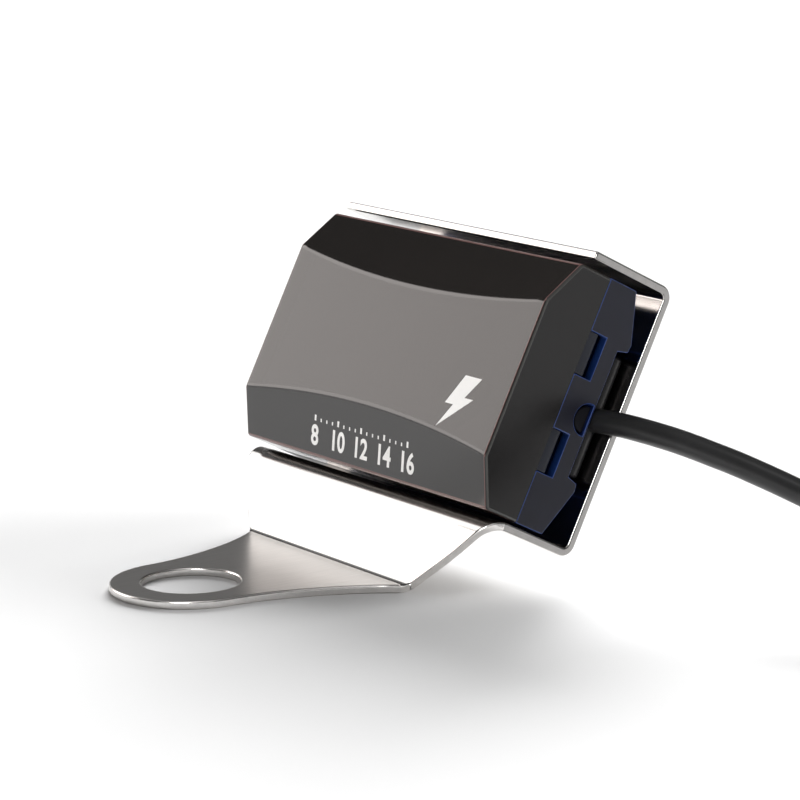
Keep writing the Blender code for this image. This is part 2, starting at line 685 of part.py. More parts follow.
def make_inner_wires():
    for name, offset, mat in (("inner_wire_red", -0.75, RED_PVC), ("inner_wire_black", 0.75, BLACK)):
        u = WIRE_U + offset
        route = [(WIRE_X, PCB_BACK_N - GAP, u), (WIRE_X, -2.6, u), (WIRE_X, -3.9, u),
                 (WIRE_X, BLOCK_FRONT_N - 0.7, u)]
        tube(name, [(x, -n, w) for x, n, w in route], WIRE_R, mat, in_meter=True)


def on_coil(angle, radius, height):
    """Point on the coil; angle runs clockwise from where the lead joins it."""
    turn = COIL_START - angle
    return (COIL_CENTRE[0] + radius * math.cos(turn), COIL_CENTRE[1] + radius * math.sin(turn),
            height)


def arc_route(start, end, radius, height, count):
    """Even points along an arc on the coil, between two angles in degrees."""
    return [on_coil(math.radians(start + (end - start) * k / (count - 1)), radius, height)
            for k in range(count)]


def make_cable():
    tube("cable_lead", smooth_route(LEAD_ROUTE, 11), CABLE_R, CABLE_PVC)
    edge = 1.1
    ring = [(COIL_OUT, COIL_H - edge), (COIL_OUT, edge), (COIL_OUT - edge, 0.0),
            (COIL_IN + edge, 0.0), (COIL_IN, edge), (COIL_IN, COIL_H - edge),
            (COIL_IN + edge, COIL_H), (COIL_OUT - edge, COIL_H)]
    turned("cable_coil", ring, CABLE_PVC, Vector((COIL_CENTRE[0] * MM, COIL_CENTRE[1] * MM, 0.0)),
           "z", steps=36)
    tube("cable_tail", arc_route(-18.0, 155.0, TAIL_R, TAIL_BASE + CABLE_R, 13), CABLE_R,
         CABLE_PVC)
    tube("end_sleeve", arc_route(156.5, 184.0, TAIL_R, TAIL_BASE + SLEEVE_R, 5), SLEEVE_R,
         RUBBER)
    for name, radius, mat in (("core_red", TAIL_R - CORE_SPREAD, RED_PVC),
                              ("core_black", TAIL_R + CORE_SPREAD, BLACK)):
        tube(name, arc_route(185.5, 282.0, radius, TAIL_BASE + CORE_R, 12), CORE_R, mat)


make_bracket()
make_front_cover()
make_rear_shell()
make_grommet()
make_seal()
make_rear_block()
make_board()
make_components()
make_display()
make_fasteners()
make_inner_wires()
make_cable()
bpy.context.view_layer.update()
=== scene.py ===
"""Looks of a motorcycle digital voltmeter and its mirror-stem bracket, built round the CAD frame.

World frame: +X along the meter's width towards the lead, the display faces -Y and tilts back,
+Z is up. The meter has its own frame, METER_FRAME: x along the width, u up the display and n
out of the display; a meter point (x, u, n) is the local point (x, -n, u). Sizes are in
millimetres here and become metres when a mesh is made.
"""
import json
import math

import bmesh
import bpy
from mathutils import Matrix, Vector

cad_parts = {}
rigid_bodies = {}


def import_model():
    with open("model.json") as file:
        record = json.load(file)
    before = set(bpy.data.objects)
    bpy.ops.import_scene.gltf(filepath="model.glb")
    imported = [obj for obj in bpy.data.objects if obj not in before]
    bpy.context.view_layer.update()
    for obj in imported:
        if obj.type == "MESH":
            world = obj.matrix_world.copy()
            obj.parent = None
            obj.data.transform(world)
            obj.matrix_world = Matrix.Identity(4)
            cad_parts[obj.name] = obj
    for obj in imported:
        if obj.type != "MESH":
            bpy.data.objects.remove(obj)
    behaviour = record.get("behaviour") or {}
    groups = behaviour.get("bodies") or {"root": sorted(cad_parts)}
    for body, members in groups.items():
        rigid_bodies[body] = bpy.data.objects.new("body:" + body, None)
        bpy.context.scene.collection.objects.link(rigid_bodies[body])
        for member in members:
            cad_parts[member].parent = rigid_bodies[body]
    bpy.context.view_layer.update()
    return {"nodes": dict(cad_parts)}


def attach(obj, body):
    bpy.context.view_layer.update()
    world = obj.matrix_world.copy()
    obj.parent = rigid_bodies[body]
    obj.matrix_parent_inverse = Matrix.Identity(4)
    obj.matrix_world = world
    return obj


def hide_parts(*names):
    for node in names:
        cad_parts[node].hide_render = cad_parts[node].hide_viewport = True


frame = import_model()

MM = 0.001

# Meter frame, as in the CAD
METER_Y, METER_Z = 13.62, 20.9
METER_TILT = math.radians(27.1)
METER_FRAME = (Matrix.Translation((0.0, METER_Y * MM, METER_Z * MM))
               @ Matrix.Rotation(-METER_TILT, 4, "X"))

# Camera, in mm; the azimuth runs from -Y towards +X
VIEW_TARGET = (-1.7, 9.9, 17.2)
VIEW_AZIMUTH = math.radians(55.32)
VIEW_ELEVATION = math.radians(11.54)
VIEW_ROLL = math.radians(-0.52)
VIEW_DISTANCE = 384.0
LENS = 151.9

# Bracket
FOOT_BACK = 15.2               # from the meter frame forward to the foot of the ramp
TAB_BACK_Y = METER_Y - FOOT_BACK - 1.0
PAINTED_HIGHLIGHT_EDGE_Y = 6.5            # the sheet's side edges carry a painted highlight in front of here and painted shade behind
PAINTED_SHADE_BEND_TOP_Z = 1.9               # height of the hollow bend at the foot, which carries painted shade

# Housing
HOUSING_HALF_W, HOUSING_HALF_H = 24.0, 14.25
GAP = 0.3                      # clearance between neighbouring pieces
WALL = 1.2
COVER_EDGE_N, FACE_N = 4.35, 7.2
CREASE_U, CREASE_SAG = 9.05, 1.85
RIM_N = -1.5                   # the cover's blank reaches this deep before its rim is cut
TONGUE_U, TONGUE_W, TONGUE_TIP_N = 5.65, 4.4, -1.75
TONGUE_IN_X, TONGUE_OUT_X = 22.95, 23.95
CAVITY_FLOOR_N, SHELL_EDGE_N = -3.25, -3.97
RIB_U, RIB_N = 8.6, -6.1       # tip of the ribs beside the back pocket
POCKET_U, POCKET_N = 7.35, -4.55
NOTCH_DEPTH = 2.5
NOTCH_REACH_U = 8.3            # the four notches lie within this height
CABLE_NOTCH_U, CABLE_NOTCH_N, CABLE_NOTCH_R = -0.9, -4.05, 1.8
CABLE_NOTCH_LENGTH = 3.2
NOTCH_LIP_N = -4.27            # the cable notch ends here, behind a thin lip
EDGE_R = 0.34                  # bevel round the smoked cover
SHELL_EDGE_R = 0.09
SEAM = 0.02                    # half of the line that shows between cover and shell

# Behind and inside the housing
BLOCK_FRONT_N, BLOCK_BACK_N = -4.85, -7.57
BLOCK_HALF_W, BLOCK_END_R = 22.4, 1.25
SCREW_X = 13.0
INSERT_SEAT_R, INSERT_SEAT_DEPTH = 2.4, 4.6
WIRE_X, WIRE_HOLE_R = 4.0, 1.6
LED_X = -5.6
LED_PIN_PITCH = 5.08
PCB_BACK_N = -1.6

# Printing
PRINT_HEIGHT = 0.03
FLASH_PLACE = (16.1, -4.25)
SCALE_FIRST_X, SCALE_PITCH, SCALE_U = -9.6, 4.6, -13.0
NUMBER_SIZE, NUMBER_BOLD, TICKS_UP = 3.0, 0.075, 2.55

# Lead: its route in the open, then the coil, as in the CAD
CABLE_R = 1.35
LEAD_ROUTE = [
    (22.7, 18.67, 17.85), (26.2, 19.46, 17.82), (29.8, 20.41, 17.53), (33.9, 21.71, 16.93),
    (37.7, 23.14, 16.05), (41.4, 24.67, 15.03), (46.8, 27.28, 13.06), (51.57, 29.81, 10.9),
    (56.16, 32.25, 8.0), (60.57, 34.6, 5.2), (64.64, 36.75, 3.0), (68.17, 38.63, 1.75),
]
COIL_CENTRE = (78.0, 27.0)
COIL_START = 118.0             # degrees, where the lead joins the outer turn
COIL_OUTER_R, COIL_INNER_R, TAIL_R = 14.9, 12.2, 13.55
CROSSING_Z, TAIL_Z, SLEEVE_Z, CORE_Z = 4.05, 3.74, 4.18, 3.28
TAIL_END = 720.0 + 155.0       # degrees of jacket in the coil and on top of it
CORE_R, CORE_SPREAD = 0.6, 0.85
STRAND_R, STRAND_SPREAD = 0.16, 0.17

# Light: directions run from the meter towards the suns
KEY_DIRECTION = (-0.66, 0.61, 0.44)
FILL_DIRECTION = (0.3, -0.8, 0.6)
WASH_RIGHT_DIRECTION = (0.5, 0.86, 0.2)
WASH_BACK_DIRECTION = (-0.5, 0.86, 0.14)
# Pieces that throw no shadow in the washes
LEAD_PIECES = ("power_lead", "heat_shrink_sleeve", "core_red_insulated", "core_black_insulated")
# World: position on the ramp, which runs from the horizon up, and brightness
WORLD_STOPS = ((0.05, 1.0), (0.12, 0.2), (0.45, 0.08), (0.65, 0.07))


# Materials -----------------------------------------------------------------------------------

class Surface:
    """A Principled material with a few procedural layers."""

    def __init__(self, name, colour, roughness, metallic=0.0, ior=1.5):
        self.mat = bpy.data.materials.new(name)
        self.mat.use_nodes = True
        self.tree = self.mat.node_tree
        self.shader = self.tree.nodes["Principled BSDF"]
        self.colour = colour
        self.shader.inputs["Base Color"].default_value = (*colour, 1.0)
        self.shader.inputs["Roughness"].default_value = roughness
        self.shader.inputs["Metallic"].default_value = metallic
        self.shader.inputs["IOR"].default_value = ior
        self.place = self.tree.nodes.new("ShaderNodeTexCoord").outputs["Object"]

    def node(self, kind, **inputs):
        """New shader node with its inputs set."""
        made = self.tree.nodes.new(kind)
        for key, value in inputs.items():
            made.inputs[key].default_value = value
        return made

    def noise(self, scale, stretch=(1.0, 1.0, 1.0), detail=4.0):
        """Noise whose grain is 1/scale metres, stretched by a scale along each axis."""
        mapping = self.node("ShaderNodeMapping", Scale=stretch)
        self.tree.links.new(self.place, mapping.inputs["Vector"])
        noise = self.node("ShaderNodeTexNoise", Scale=scale, Detail=detail)
        self.tree.links.new(mapping.outputs["Vector"], noise.inputs["Vector"])
        return noise.outputs["Fac"]

    def vary_roughness(self, fac, low, high):
        """Let the roughness wander between two values."""
        spread = self.node("ShaderNodeMapRange")
        spread.inputs["To Min"].default_value = low
        spread.inputs["To Max"].default_value = high
        self.tree.links.new(fac, spread.inputs["Value"])
        self.tree.links.new(spread.outputs["Result"], self.shader.inputs["Roughness"])

    def vary_colour(self, fac, other, low=0.35, high=0.65):
        """Blend the base colour towards another where the noise is high."""
        ramp = self.node("ShaderNodeValToRGB")
        ramp.color_ramp.elements[0].position = low
        ramp.color_ramp.elements[0].color = (*self.colour, 1.0)
        ramp.color_ramp.elements[1].position = high
        ramp.color_ramp.elements[1].color = (*other, 1.0)
        self.tree.links.new(fac, ramp.inputs["Fac"])
        self.tree.links.new(ramp.outputs["Color"], self.shader.inputs["Base Color"])

    def bump(self, fac, strength, depth):
        """Bump of the given depth in millimetres."""
        bump = self.node("ShaderNodeBump", Strength=strength, Distance=depth * MM)
        self.tree.links.new(fac, bump.inputs["Height"])
        normal = self.shader.inputs["Normal"]
        if normal.is_linked:
            self.tree.links.new(normal.links[0].from_socket, bump.inputs["Normal"])
        self.tree.links.new(bump.outputs["Normal"], normal)
        return self


def stainless(name, low, high):
    """Satin stainless: fine brush lines along the strip and a faint cloudiness."""
    s = Surface(name, (0.66, 0.635, 0.615), low, metallic=1.0)
    lines = s.noise(9000.0, (1.0, 0.04, 0.04), detail=3.0)
    cloud = s.noise(260.0)
    s.vary_roughness(cloud, low, high)
    s.vary_colour(lines, (0.6, 0.58, 0.56))
    return s.bump(lines, 0.08, 0.002).mat


def stainless_cut(name, shade):
    """Steel of the same sheet for its cut edges and bend, without brush lines; its colour carries
    painted light: painted shade with a shade below 1, a painted highlight with one above.
    """
    colour = (0.66 * shade, 0.64 * shade, 0.625 * shade)
    s = Surface(name, colour, 0.22, metallic=1.0)
    s.vary_roughness(s.noise(400.0), 0.18, 0.28)
    s.vary_colour(s.noise(900.0), tuple(0.9 * c for c in colour))
    return s.bump(s.noise(5000.0, detail=2.0), 0.15, 0.003).mat


def smoked(name, colour, roughness, ior=1.52):
    """Tinted polycarbonate: glossy, with a very slight moulded waviness."""
    s = Surface(name, colour, roughness, ior=ior)
    s.vary_roughness(s.noise(900.0), roughness * 0.85, roughness * 1.2)
    s.vary_colour(s.noise(60.0, (1.0, 1.0, 0.4)), tuple(c * 1.3 for c in colour), 0.3, 0.75)
    return s.bump(s.noise(110.0, detail=1.0), 0.1, 0.01).mat


def moulded(name, colour, roughness, grain=0.006, other=None, ior=1.5):
    """Moulded plastic with a fine spark-eroded grain."""
    s = Surface(name, colour, roughness, ior=ior)
    s.vary_roughness(s.noise(700.0), roughness * 0.85, roughness * 1.2)
    s.vary_colour(s.noise(180.0), other or tuple(c * 1.5 for c in colour))
    return s.bump(s.noise(9000.0, detail=2.0), 0.3, grain).mat


def plated(name, colour, roughness):
    """Bare or plated metal with slightly uneven gloss."""
    s = Surface(name, colour, roughness, metallic=1.0)
    s.vary_roughness(s.noise(1500.0), roughness * 0.75, roughness * 1.4)
    s.vary_colour(s.noise(500.0), tuple(c * 0.85 for c in colour))
    return s.bump(s.noise(7000.0), 0.15, 0.003).mat


def solder_mask():
    """Green solder mask with faint copper tracks under it."""
    s = Surface("solder_mask", (0.012, 0.11, 0.045), 0.32)
    voronoi = s.node("ShaderNodeTexVoronoi", Scale=520.0)
    voronoi.distance = "MANHATTAN"
    s.tree.links.new(s.place, voronoi.inputs["Vector"])
    s.vary_colour(voronoi.outputs["Distance"], (0.02, 0.17, 0.07), 0.3, 0.36)
    return s.bump(voronoi.outputs["Distance"], 0.3, 0.02).mat


STEEL = stainless("stainless_satin", 0.12, 0.19)
STEEL_TAB = stainless("stainless_tab", 0.26, 0.32)
# Side edges behind the front: steel with fine grain and no brush lines, its colour darkened as
# painted shade
STEEL_CUT_PAINTED_SHADE = stainless_cut("stainless_cut", 0.5)
# Tab rim and the front side edges: a lighter copy of the steel, painted highlight
STEEL_RIM_PAINTED_HIGHLIGHT = stainless_cut("stainless_rim_painted_highlight", 1.3)
# Hollow bend at the foot of the ramp: a nearly black copy of the steel, painted shade
STEEL_BEND_PAINTED_SHADE = stainless_cut("stainless_bend_painted_shade", 0.2)
COVER = smoked("smoked_cover", (0.0105, 0.0088, 0.0078), 0.11, 1.6)
# Darker, less glossy copy of the smoked plastic for the flat ends: painted shade
COVER_SIDE_PAINTED_SHADE = smoked("smoked_side_painted_shade", (0.0075, 0.0068, 0.0068), 0.2, 1.36)
WINDOW = smoked("smoked_window", (0.017, 0.0145, 0.013), 0.16)
WINDOW.node_tree.nodes["Principled BSDF"].inputs["Alpha"].default_value = 0.93
# Pinkish, lighter copy of the smoked plastic for the rounded edges: painted highlight
COVER_EDGE_PAINTED_HIGHLIGHT = smoked("smoked_edge_painted_highlight", (0.12, 0.066, 0.062), 0.25)
# Near-black copy of the smoked plastic for a line round the ends: painted dark reflection
COVER_PAINTED_DARK_LINE = smoked("smoked_painted_dark_line", (0.004, 0.0035, 0.0035), 0.3)
# Grey, lighter copy of the smoked plastic for the rim round the ends: painted highlight
COVER_RIM_PAINTED_HIGHLIGHT = smoked("smoked_rim_painted_highlight", (0.045, 0.045, 0.042), 0.25)
TONGUE = moulded("tongue", (0.004, 0.0055, 0.011), 0.35, 0.002, ior=1.33)
NAVY = moulded("navy_shell", (0.0041, 0.0046, 0.0115), 0.3, 0.003, ior=1.35)
# Bright blue copy of the navy plastic for the shell's rounded edges: painted blue highlight
NAVY_EDGE_PAINTED_HIGHLIGHT = moulded("navy_edge_painted_highlight", (0.022, 0.048, 0.17), 0.35, 0.002)
# Blue copy of the navy plastic for the notch walls: painted blue light
NAVY_SLOT_PAINTED_LIGHT = moulded("navy_slot_painted_light", (0.006, 0.022, 0.1), 0.4, 0.002)
# Bluer copy of the navy plastic for everything behind the notches: painted blue glow, reflected in
# the back plate
NAVY_BACK_PAINTED_GLOW = moulded("navy_back_painted_glow", (0.004, 0.010, 0.048), 0.3, 0.002)
GROMMET = moulded("grommet", (0.004, 0.004, 0.006), 0.6, 0.004, ior=1.25)
BLACK = moulded("black_plastic", (0.011, 0.011, 0.012), 0.42)
# Darker copy of the black plastic for the block: painted shade of the gap between shell and bracket
BLOCK_PAINTED_SHADE = moulded("block_plastic_painted_shade", (0.005, 0.005, 0.006), 0.42, ior=1.3)
CHIP_BLACK = moulded("chip_epoxy", (0.016, 0.016, 0.017), 0.55, 0.012)
RUBBER = moulded("black_rubber", (0.014, 0.014, 0.015), 0.68, 0.012)
JACKET = moulded("cable_jacket", (0.015, 0.015, 0.0153), 0.38, 0.008)
RED = moulded("red_insulation", (0.42, 0.012, 0.01), 0.42, 0.006, (0.5, 0.02, 0.015))
BOARD = solder_mask()
DIGIT = moulded("digit_diffuser", (0.5, 0.46, 0.44), 0.5, 0.004, (0.55, 0.5, 0.48))
CERAMIC = moulded("ceramic_chip", (0.33, 0.23, 0.14), 0.5, 0.006)
INK = moulded("white_ink", (0.82, 0.81, 0.79), 0.55, 0.003, (0.86, 0.85, 0.83))
ZINC = plated("zinc_plate", (0.58, 0.58, 0.57), 0.32)
BRASS = plated("brass", (0.72, 0.5, 0.2), 0.3)
TIN = plated("tinned_metal", (0.72, 0.71, 0.68), 0.36)
CAN = plated("aluminium_can", (0.74, 0.74, 0.75), 0.27)

# Materials of the pieces that have several; the second one is for rounded or cut edges, and carries
# painted shade on the bracket, a painted highlight on the cover and a painted blue highlight on the
# shell
BRACKET_LOOKS = [STEEL, STEEL_CUT_PAINTED_SHADE, STEEL_RIM_PAINTED_HIGHLIGHT, STEEL_TAB, STEEL_BEND_PAINTED_SHADE]
COVER_LOOKS = [COVER, COVER_EDGE_PAINTED_HIGHLIGHT, WINDOW, COVER_PAINTED_DARK_LINE, COVER_RIM_PAINTED_HIGHLIGHT, TONGUE, COVER_SIDE_PAINTED_SHADE]
SHELL_LOOKS = [NAVY, NAVY_EDGE_PAINTED_HIGHLIGHT, NAVY_BACK_PAINTED_GLOW, NAVY_SLOT_PAINTED_LIGHT]


# Making pieces -------------------------------------------------------------------------------

def link(name, data, materials, replaces=(), in_meter=True):
    """Put a piece in the scene, let it ride on the part and hide the CAD nodes it stands for."""
    obj = bpy.data.objects.new(name, data)
    bpy.context.scene.collection.objects.link(obj)
    if in_meter:
        obj.matrix_world = METER_FRAME
    for mat in materials:
        obj.data.materials.append(mat)
    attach(obj, "root")
    if replaces:
        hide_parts(*replaces)
    return obj


def to_mesh(name, bm):
    """Mesh of closed bodies with their faces turned outwards, sorted out at a larger scale
    because the faces are tiny in metres."""
    bmesh.ops.scale(bm, vec=(1000.0, 1000.0, 1000.0), verts=bm.verts)
    bmesh.ops.recalc_face_normals(bm, faces=bm.faces)
    if bm.calc_volume(signed=True) < 0.0:
        bmesh.ops.reverse_faces(bm, faces=bm.faces)
    bmesh.ops.scale(bm, vec=(0.001, 0.001, 0.001), verts=bm.verts)
    mesh = bpy.data.meshes.new(name)
    bm.to_mesh(mesh)
    bm.free()
    return mesh


def paint_faces(obj, looks, choose):
    """Give each face of a piece the one of its materials that choose(face) names."""
    for face in obj.data.polygons:
        face.material_index = looks.index(choose(face))


def face_place(face):
    """Middle of a face as x, u and n, in mm."""
    x, y, z = face.center / MM
    return x, z, -y


def cad_copy(node, in_meter=True):
    """Copy of a CAD node's mesh with its flat faces whole again."""
    bm = bmesh.new()
    bm.from_mesh(frame["nodes"][node].data)
    bmesh.ops.remove_doubles(bm, verts=bm.verts, dist=0.000002)
    if in_meter:
        bm.transform(METER_FRAME.inverted())
    bmesh.ops.dissolve_limit(bm, angle_limit=math.radians(0.6), verts=bm.verts,
                             edges=bm.edges)
    return to_mesh(node + "_fine", bm)


def rounded_copy(name, node, mat, width, segments):
    """Piece with its CAD node's shape and rounded edges."""
    soften(link(name, cad_copy(node), [mat], (node,)), width, segments)


def soften(obj, width, segments=3, angle=28.0, slot=-1):
    """Round the sharp edges of a piece and shade its flat faces flat."""
    obj.data.shade_smooth()
    bevel = obj.modifiers.new("edges", "BEVEL")
    bevel.width = width * MM
    bevel.segments = segments
    bevel.limit_method = "ANGLE"
    bevel.angle_limit = math.radians(angle)
    bevel.material = slot
    weighted = obj.modifiers.new("shading", "WEIGHTED_NORMAL")
    weighted.weight = 80
    weighted.keep_sharp = True


def at(x, u, n):
    """Point of the meter frame, in metres."""
    return Vector((x, -n, u)) * MM


def loft(name, sections):
    """Closed solid through rings that all have the same number of points."""
    bm = bmesh.new()
    rings = [[bm.verts.new(p) for p in section] for section in sections]
    for ring, following in zip(rings, rings[1:]):
        for k in range(len(ring)):
            other = (k + 1) % len(ring)
            bm.faces.new((ring[k], ring[other], following[other], following[k]))
    bm.faces.new(rings[0][::-1])
    bm.faces.new(rings[-1])
    return to_mesh(name, bm)


def apply_all(obj):
    """Make the modifiers' result the object's own mesh."""
    bpy.context.view_layer.update()
    graph = bpy.context.evaluated_depsgraph_get()
    mesh = bpy.data.meshes.new_from_object(obj.evaluated_get(graph))
    obj.modifiers.clear()
    obj.data = mesh


def with_tools(obj, tools, operation):
    """Join each tool mesh to the piece, or cut the piece by it, and apply the result."""
    holders = []
    for mesh in tools:
        holder = bpy.data.objects.new("tool", mesh)
        bpy.context.scene.collection.objects.link(holder)
        holder.matrix_world = obj.matrix_world
        modifier = obj.modifiers.new("tool", "BOOLEAN")
        modifier.operation = operation
        modifier.solver = "EXACT"
        modifier.object = holder
        holders.append(holder)
    apply_all(obj)
    for holder in holders:
        bpy.data.objects.remove(holder, do_unlink=True)


def close_gaps(obj):
    """Fill the sliver gaps that a Boolean can leave."""
    bm = bmesh.new()
    bm.from_mesh(obj.data)
    bmesh.ops.holes_fill(bm, edges=[e for e in bm.edges if e.is_boundary], sides=0)
    bm.to_mesh(obj.data)
    bm.free()


def box(x, u, n):
    """Box mesh between limits in the meter frame."""
    low, high = at(x[0], u[0], n[1]), at(x[1], u[1], n[0])
    bm = bmesh.new()
    bmesh.ops.create_cube(bm, size=1.0)
    bmesh.ops.scale(bm, vec=high - low, verts=bm.verts)
    bmesh.ops.translate(bm, vec=(low + high) / 2.0, verts=bm.verts)
    return to_mesh("box", bm)


def rod(radius, depth, centre):
    """Cylinder along n round a centre in metres, for cutting holes."""
    bm = bmesh.new()
    bmesh.ops.create_cone(bm, cap_ends=True, segments=48, radius1=radius * MM,
                          radius2=radius * MM, depth=depth * MM)
    bm.transform(Matrix.Translation(centre) @ Matrix.Rotation(math.radians(90), 4, "X"))
    return to_mesh("rod", bm)


# Stage, camera and light ---------------------------------------------------------------------

def make_camera():
    """Long lens from the front right, a little above the meter."""
    forward = Vector((-math.sin(VIEW_AZIMUTH) * math.cos(VIEW_ELEVATION),
                      math.cos(VIEW_AZIMUTH) * math.cos(VIEW_ELEVATION),
                      -math.sin(VIEW_ELEVATION)))
    right = forward.cross(Vector((0.0, 0.0, 1.0))).normalized()
    up = right.cross(forward)
    right, up = (right * math.cos(VIEW_ROLL) + up * math.sin(VIEW_ROLL),
                 up * math.cos(VIEW_ROLL) - right * math.sin(VIEW_ROLL))
    place = (Vector(VIEW_TARGET) - forward * VIEW_DISTANCE) * MM
    camera = bpy.data.objects.new("camera", bpy.data.cameras.new("camera"))
    camera.data.lens = LENS
    camera.data.clip_start = 0.01
    camera.matrix_world = Matrix((
        (right.x, up.x, -forward.x, place.x), (right.y, up.y, -forward.y, place.y),
        (right.z, up.z, -forward.z, place.z), (0.0, 0.0, 0.0, 1.0)))
    bpy.context.scene.collection.objects.link(camera)
    bpy.context.scene.camera = camera


def make_floor():
    """Pale matt floor, eight metres across, that isn't part of the object."""
    bm = bmesh.new()
    bmesh.ops.create_grid(bm, x_segments=8, y_segments=8, size=4.0)
    paint = Surface("pale_floor", (0.86, 0.86, 0.86), 0.7)
    paint.vary_roughness(paint.noise(30.0), 0.6, 0.8)
    floor = bpy.data.objects.new("floor", to_mesh("floor", bm))
    floor.data.materials.append(paint.mat)
    bpy.context.scene.collection.objects.link(floor)


def place_light(name, kind, direction, distance, energy):
    """Light that stands off the meter in a direction, by a distance in metres, and points
    at it."""
    data = bpy.data.lights.new(name, kind)
    data.energy = energy
    light = bpy.data.objects.new(name, data)
    towards = Vector(direction).normalized()
    light.location = METER_FRAME.translation + towards * distance
    light.rotation_euler = towards.to_track_quat("Z", "Y").to_euler()
    bpy.context.scene.collection.objects.link(light)
    return light


def place_softbox(name, direction, distance, size, energy, colour=(1.0, 1.0, 1.0)):
    """Rectangular area light; its size is in metres and its energy in watts."""
    light = place_light(name, "AREA", direction, distance, energy)
    light.data.shape = "RECTANGLE"
    light.data.size, light.data.size_y = size
    light.data.color = colour
    return light


def light_group(name, targets, state):
    """Collection for linked lights: only the targets (INCLUDE), or all but them (EXCLUDE)."""
    group = bpy.data.collections.new(name)
    for index, target in enumerate(targets):
        group.objects.link(bpy.data.objects[target])
        group.collection_objects[index].light_linking.link_state = state
    return group


def make_suns():
    """Key and fill, and two low washes that only whiten the floor behind the shadow."""
    key = place_light("key", "SUN", KEY_DIRECTION, 1.0, 5.2)
    key.data.angle = math.radians(32.0)
    fill = place_light("fill", "SUN", FILL_DIRECTION, 1.0, 1.8)
    fill.data.angle = math.radians(120.0)
    washes = [place_light("floor_wash_right", "SUN", WASH_RIGHT_DIRECTION, 1.0, 5.2),
              place_light("floor_wash_back", "SUN", WASH_BACK_DIRECTION, 1.0, 3.7)]
    for wash in washes:
        wash.data.angle = math.radians(44.0)
    for sun in [key, fill] + washes:
        sun.visible_glossy = False
    return fill, washes


def make_lights():
    """Suns for the floor and its shadow, boxes for the gloss, each on what it is meant for."""
    fill, washes = make_suns()
    softbox = place_softbox("softbox", (-0.806, -0.489, 0.336), 0.5, (0.36, 0.26), 0.91,
                            (1.0, 0.94, 0.91))
    overhead = place_softbox("overhead", (0.16, -0.11, 0.98), 0.7, (0.16, 0.16), 0.22)
    steel_boxes = [
        place_softbox("front_box", (0.59, -0.68, 0.43), 0.8, (0.3, 0.3), 2.4),
        place_softbox("top_box", (0.68, -0.19, 0.7), 0.8, (0.45, 0.45), 0.32),
        place_softbox("back_box", (0.0, 0.9, 0.44), 0.8, (0.5, 0.4), 0.32),
        place_softbox("reflector", (-0.806, -0.05, 0.58), 0.5, (0.2, 0.16), 0.175),
    ]
    floor_only = light_group("floor_only", ("floor",), "INCLUDE")
    all_but_floor = light_group("all_but_floor", ("floor",), "EXCLUDE")
    steel_only = light_group("steel_only", ("steel_bracket",), "INCLUDE")
    no_lead = light_group("no_lead", LEAD_PIECES, "EXCLUDE")
    for wash in washes:
        wash.light_linking.receiver_collection = floor_only
        wash.light_linking.blocker_collection = no_lead
    for light in (fill, softbox, overhead):
        light.light_linking.receiver_collection = all_but_floor
    for light in steel_boxes:
        light.light_linking.receiver_collection = steel_only


def make_world():
    """White below the horizon, so that the floor's edge doesn't show, and dim above it."""
    world = bpy.data.worlds.new("studio")
    world.use_nodes = True
    tree = world.node_tree
    place = tree.nodes.new("ShaderNodeTexCoord")
    split = tree.nodes.new("ShaderNodeSeparateXYZ")
    ramp = tree.nodes.new("ShaderNodeValToRGB")
    tree.links.new(place.outputs["Generated"], split.inputs["Vector"])
    tree.links.new(split.outputs["Z"], ramp.inputs["Fac"])
    tree.links.new(ramp.outputs["Color"], tree.nodes["Background"].inputs["Color"])
    stops = ramp.color_ramp.elements
    stops[0].color = (1.0, 1.0, 1.0, 1.0)
    stops[1].color = (0.3, 0.3, 0.3, 1.0)
    for position, level in WORLD_STOPS:
        stops.new(position).color = (level, level, level, 1.0)
    bpy.context.scene.world = world
    bpy.context.scene.view_settings.view_transform = "Standard"


# Lead ----------------------------------------------------------------------------------------

def on_coil(angle, radius, height):
    """Point on the coil; the angle in degrees runs clockwise from where the lead joins it."""
    turn = math.radians(COIL_START - angle)
    return Vector((COIL_CENTRE[0] + radius * math.cos(turn),
                   COIL_CENTRE[1] + radius * math.sin(turn), height))


def ease(low, high, share):
    """Smooth step from low to high; the share is clamped to 0..1."""
    share = min(max(share, 0.0), 1.0)
    return low + (high - low) * share * share * (3.0 - 2.0 * share)


def coil_point(angle):
    """Outer turn, inner turn beside it, then up into the groove on top of both."""
    if angle < 655.0:
        return on_coil(angle, ease(COIL_OUTER_R, COIL_INNER_R, (angle - 300.0) / 60.0), CABLE_R)
    share = (angle - 655.0) / 45.0
    settle = ease(CROSSING_Z, TAIL_Z, (angle - 725.0) / 30.0)
    return on_coil(angle, ease(COIL_INNER_R, TAIL_R, share), ease(CABLE_R, settle, share))


def smooth(points, per_span):
    """Catmull-Rom curve through the points."""
    knots = [Vector(p) for p in points]
    knots = [2 * knots[0] - knots[1]] + knots + [2 * knots[-1] - knots[-2]]
    dense = []
    for p0, p1, p2, p3 in zip(knots, knots[1:], knots[2:], knots[3:]):
        for step in range(per_span):
            t = step / per_span
            dense.append(0.5 * (2 * p1 + (p2 - p0) * t + (2 * p0 - 5 * p1 + 4 * p2 - p3) * t ** 2
                                + (3 * p1 - p0 - 3 * p2 + p3) * t ** 3))
    return dense + [knots[-2]]


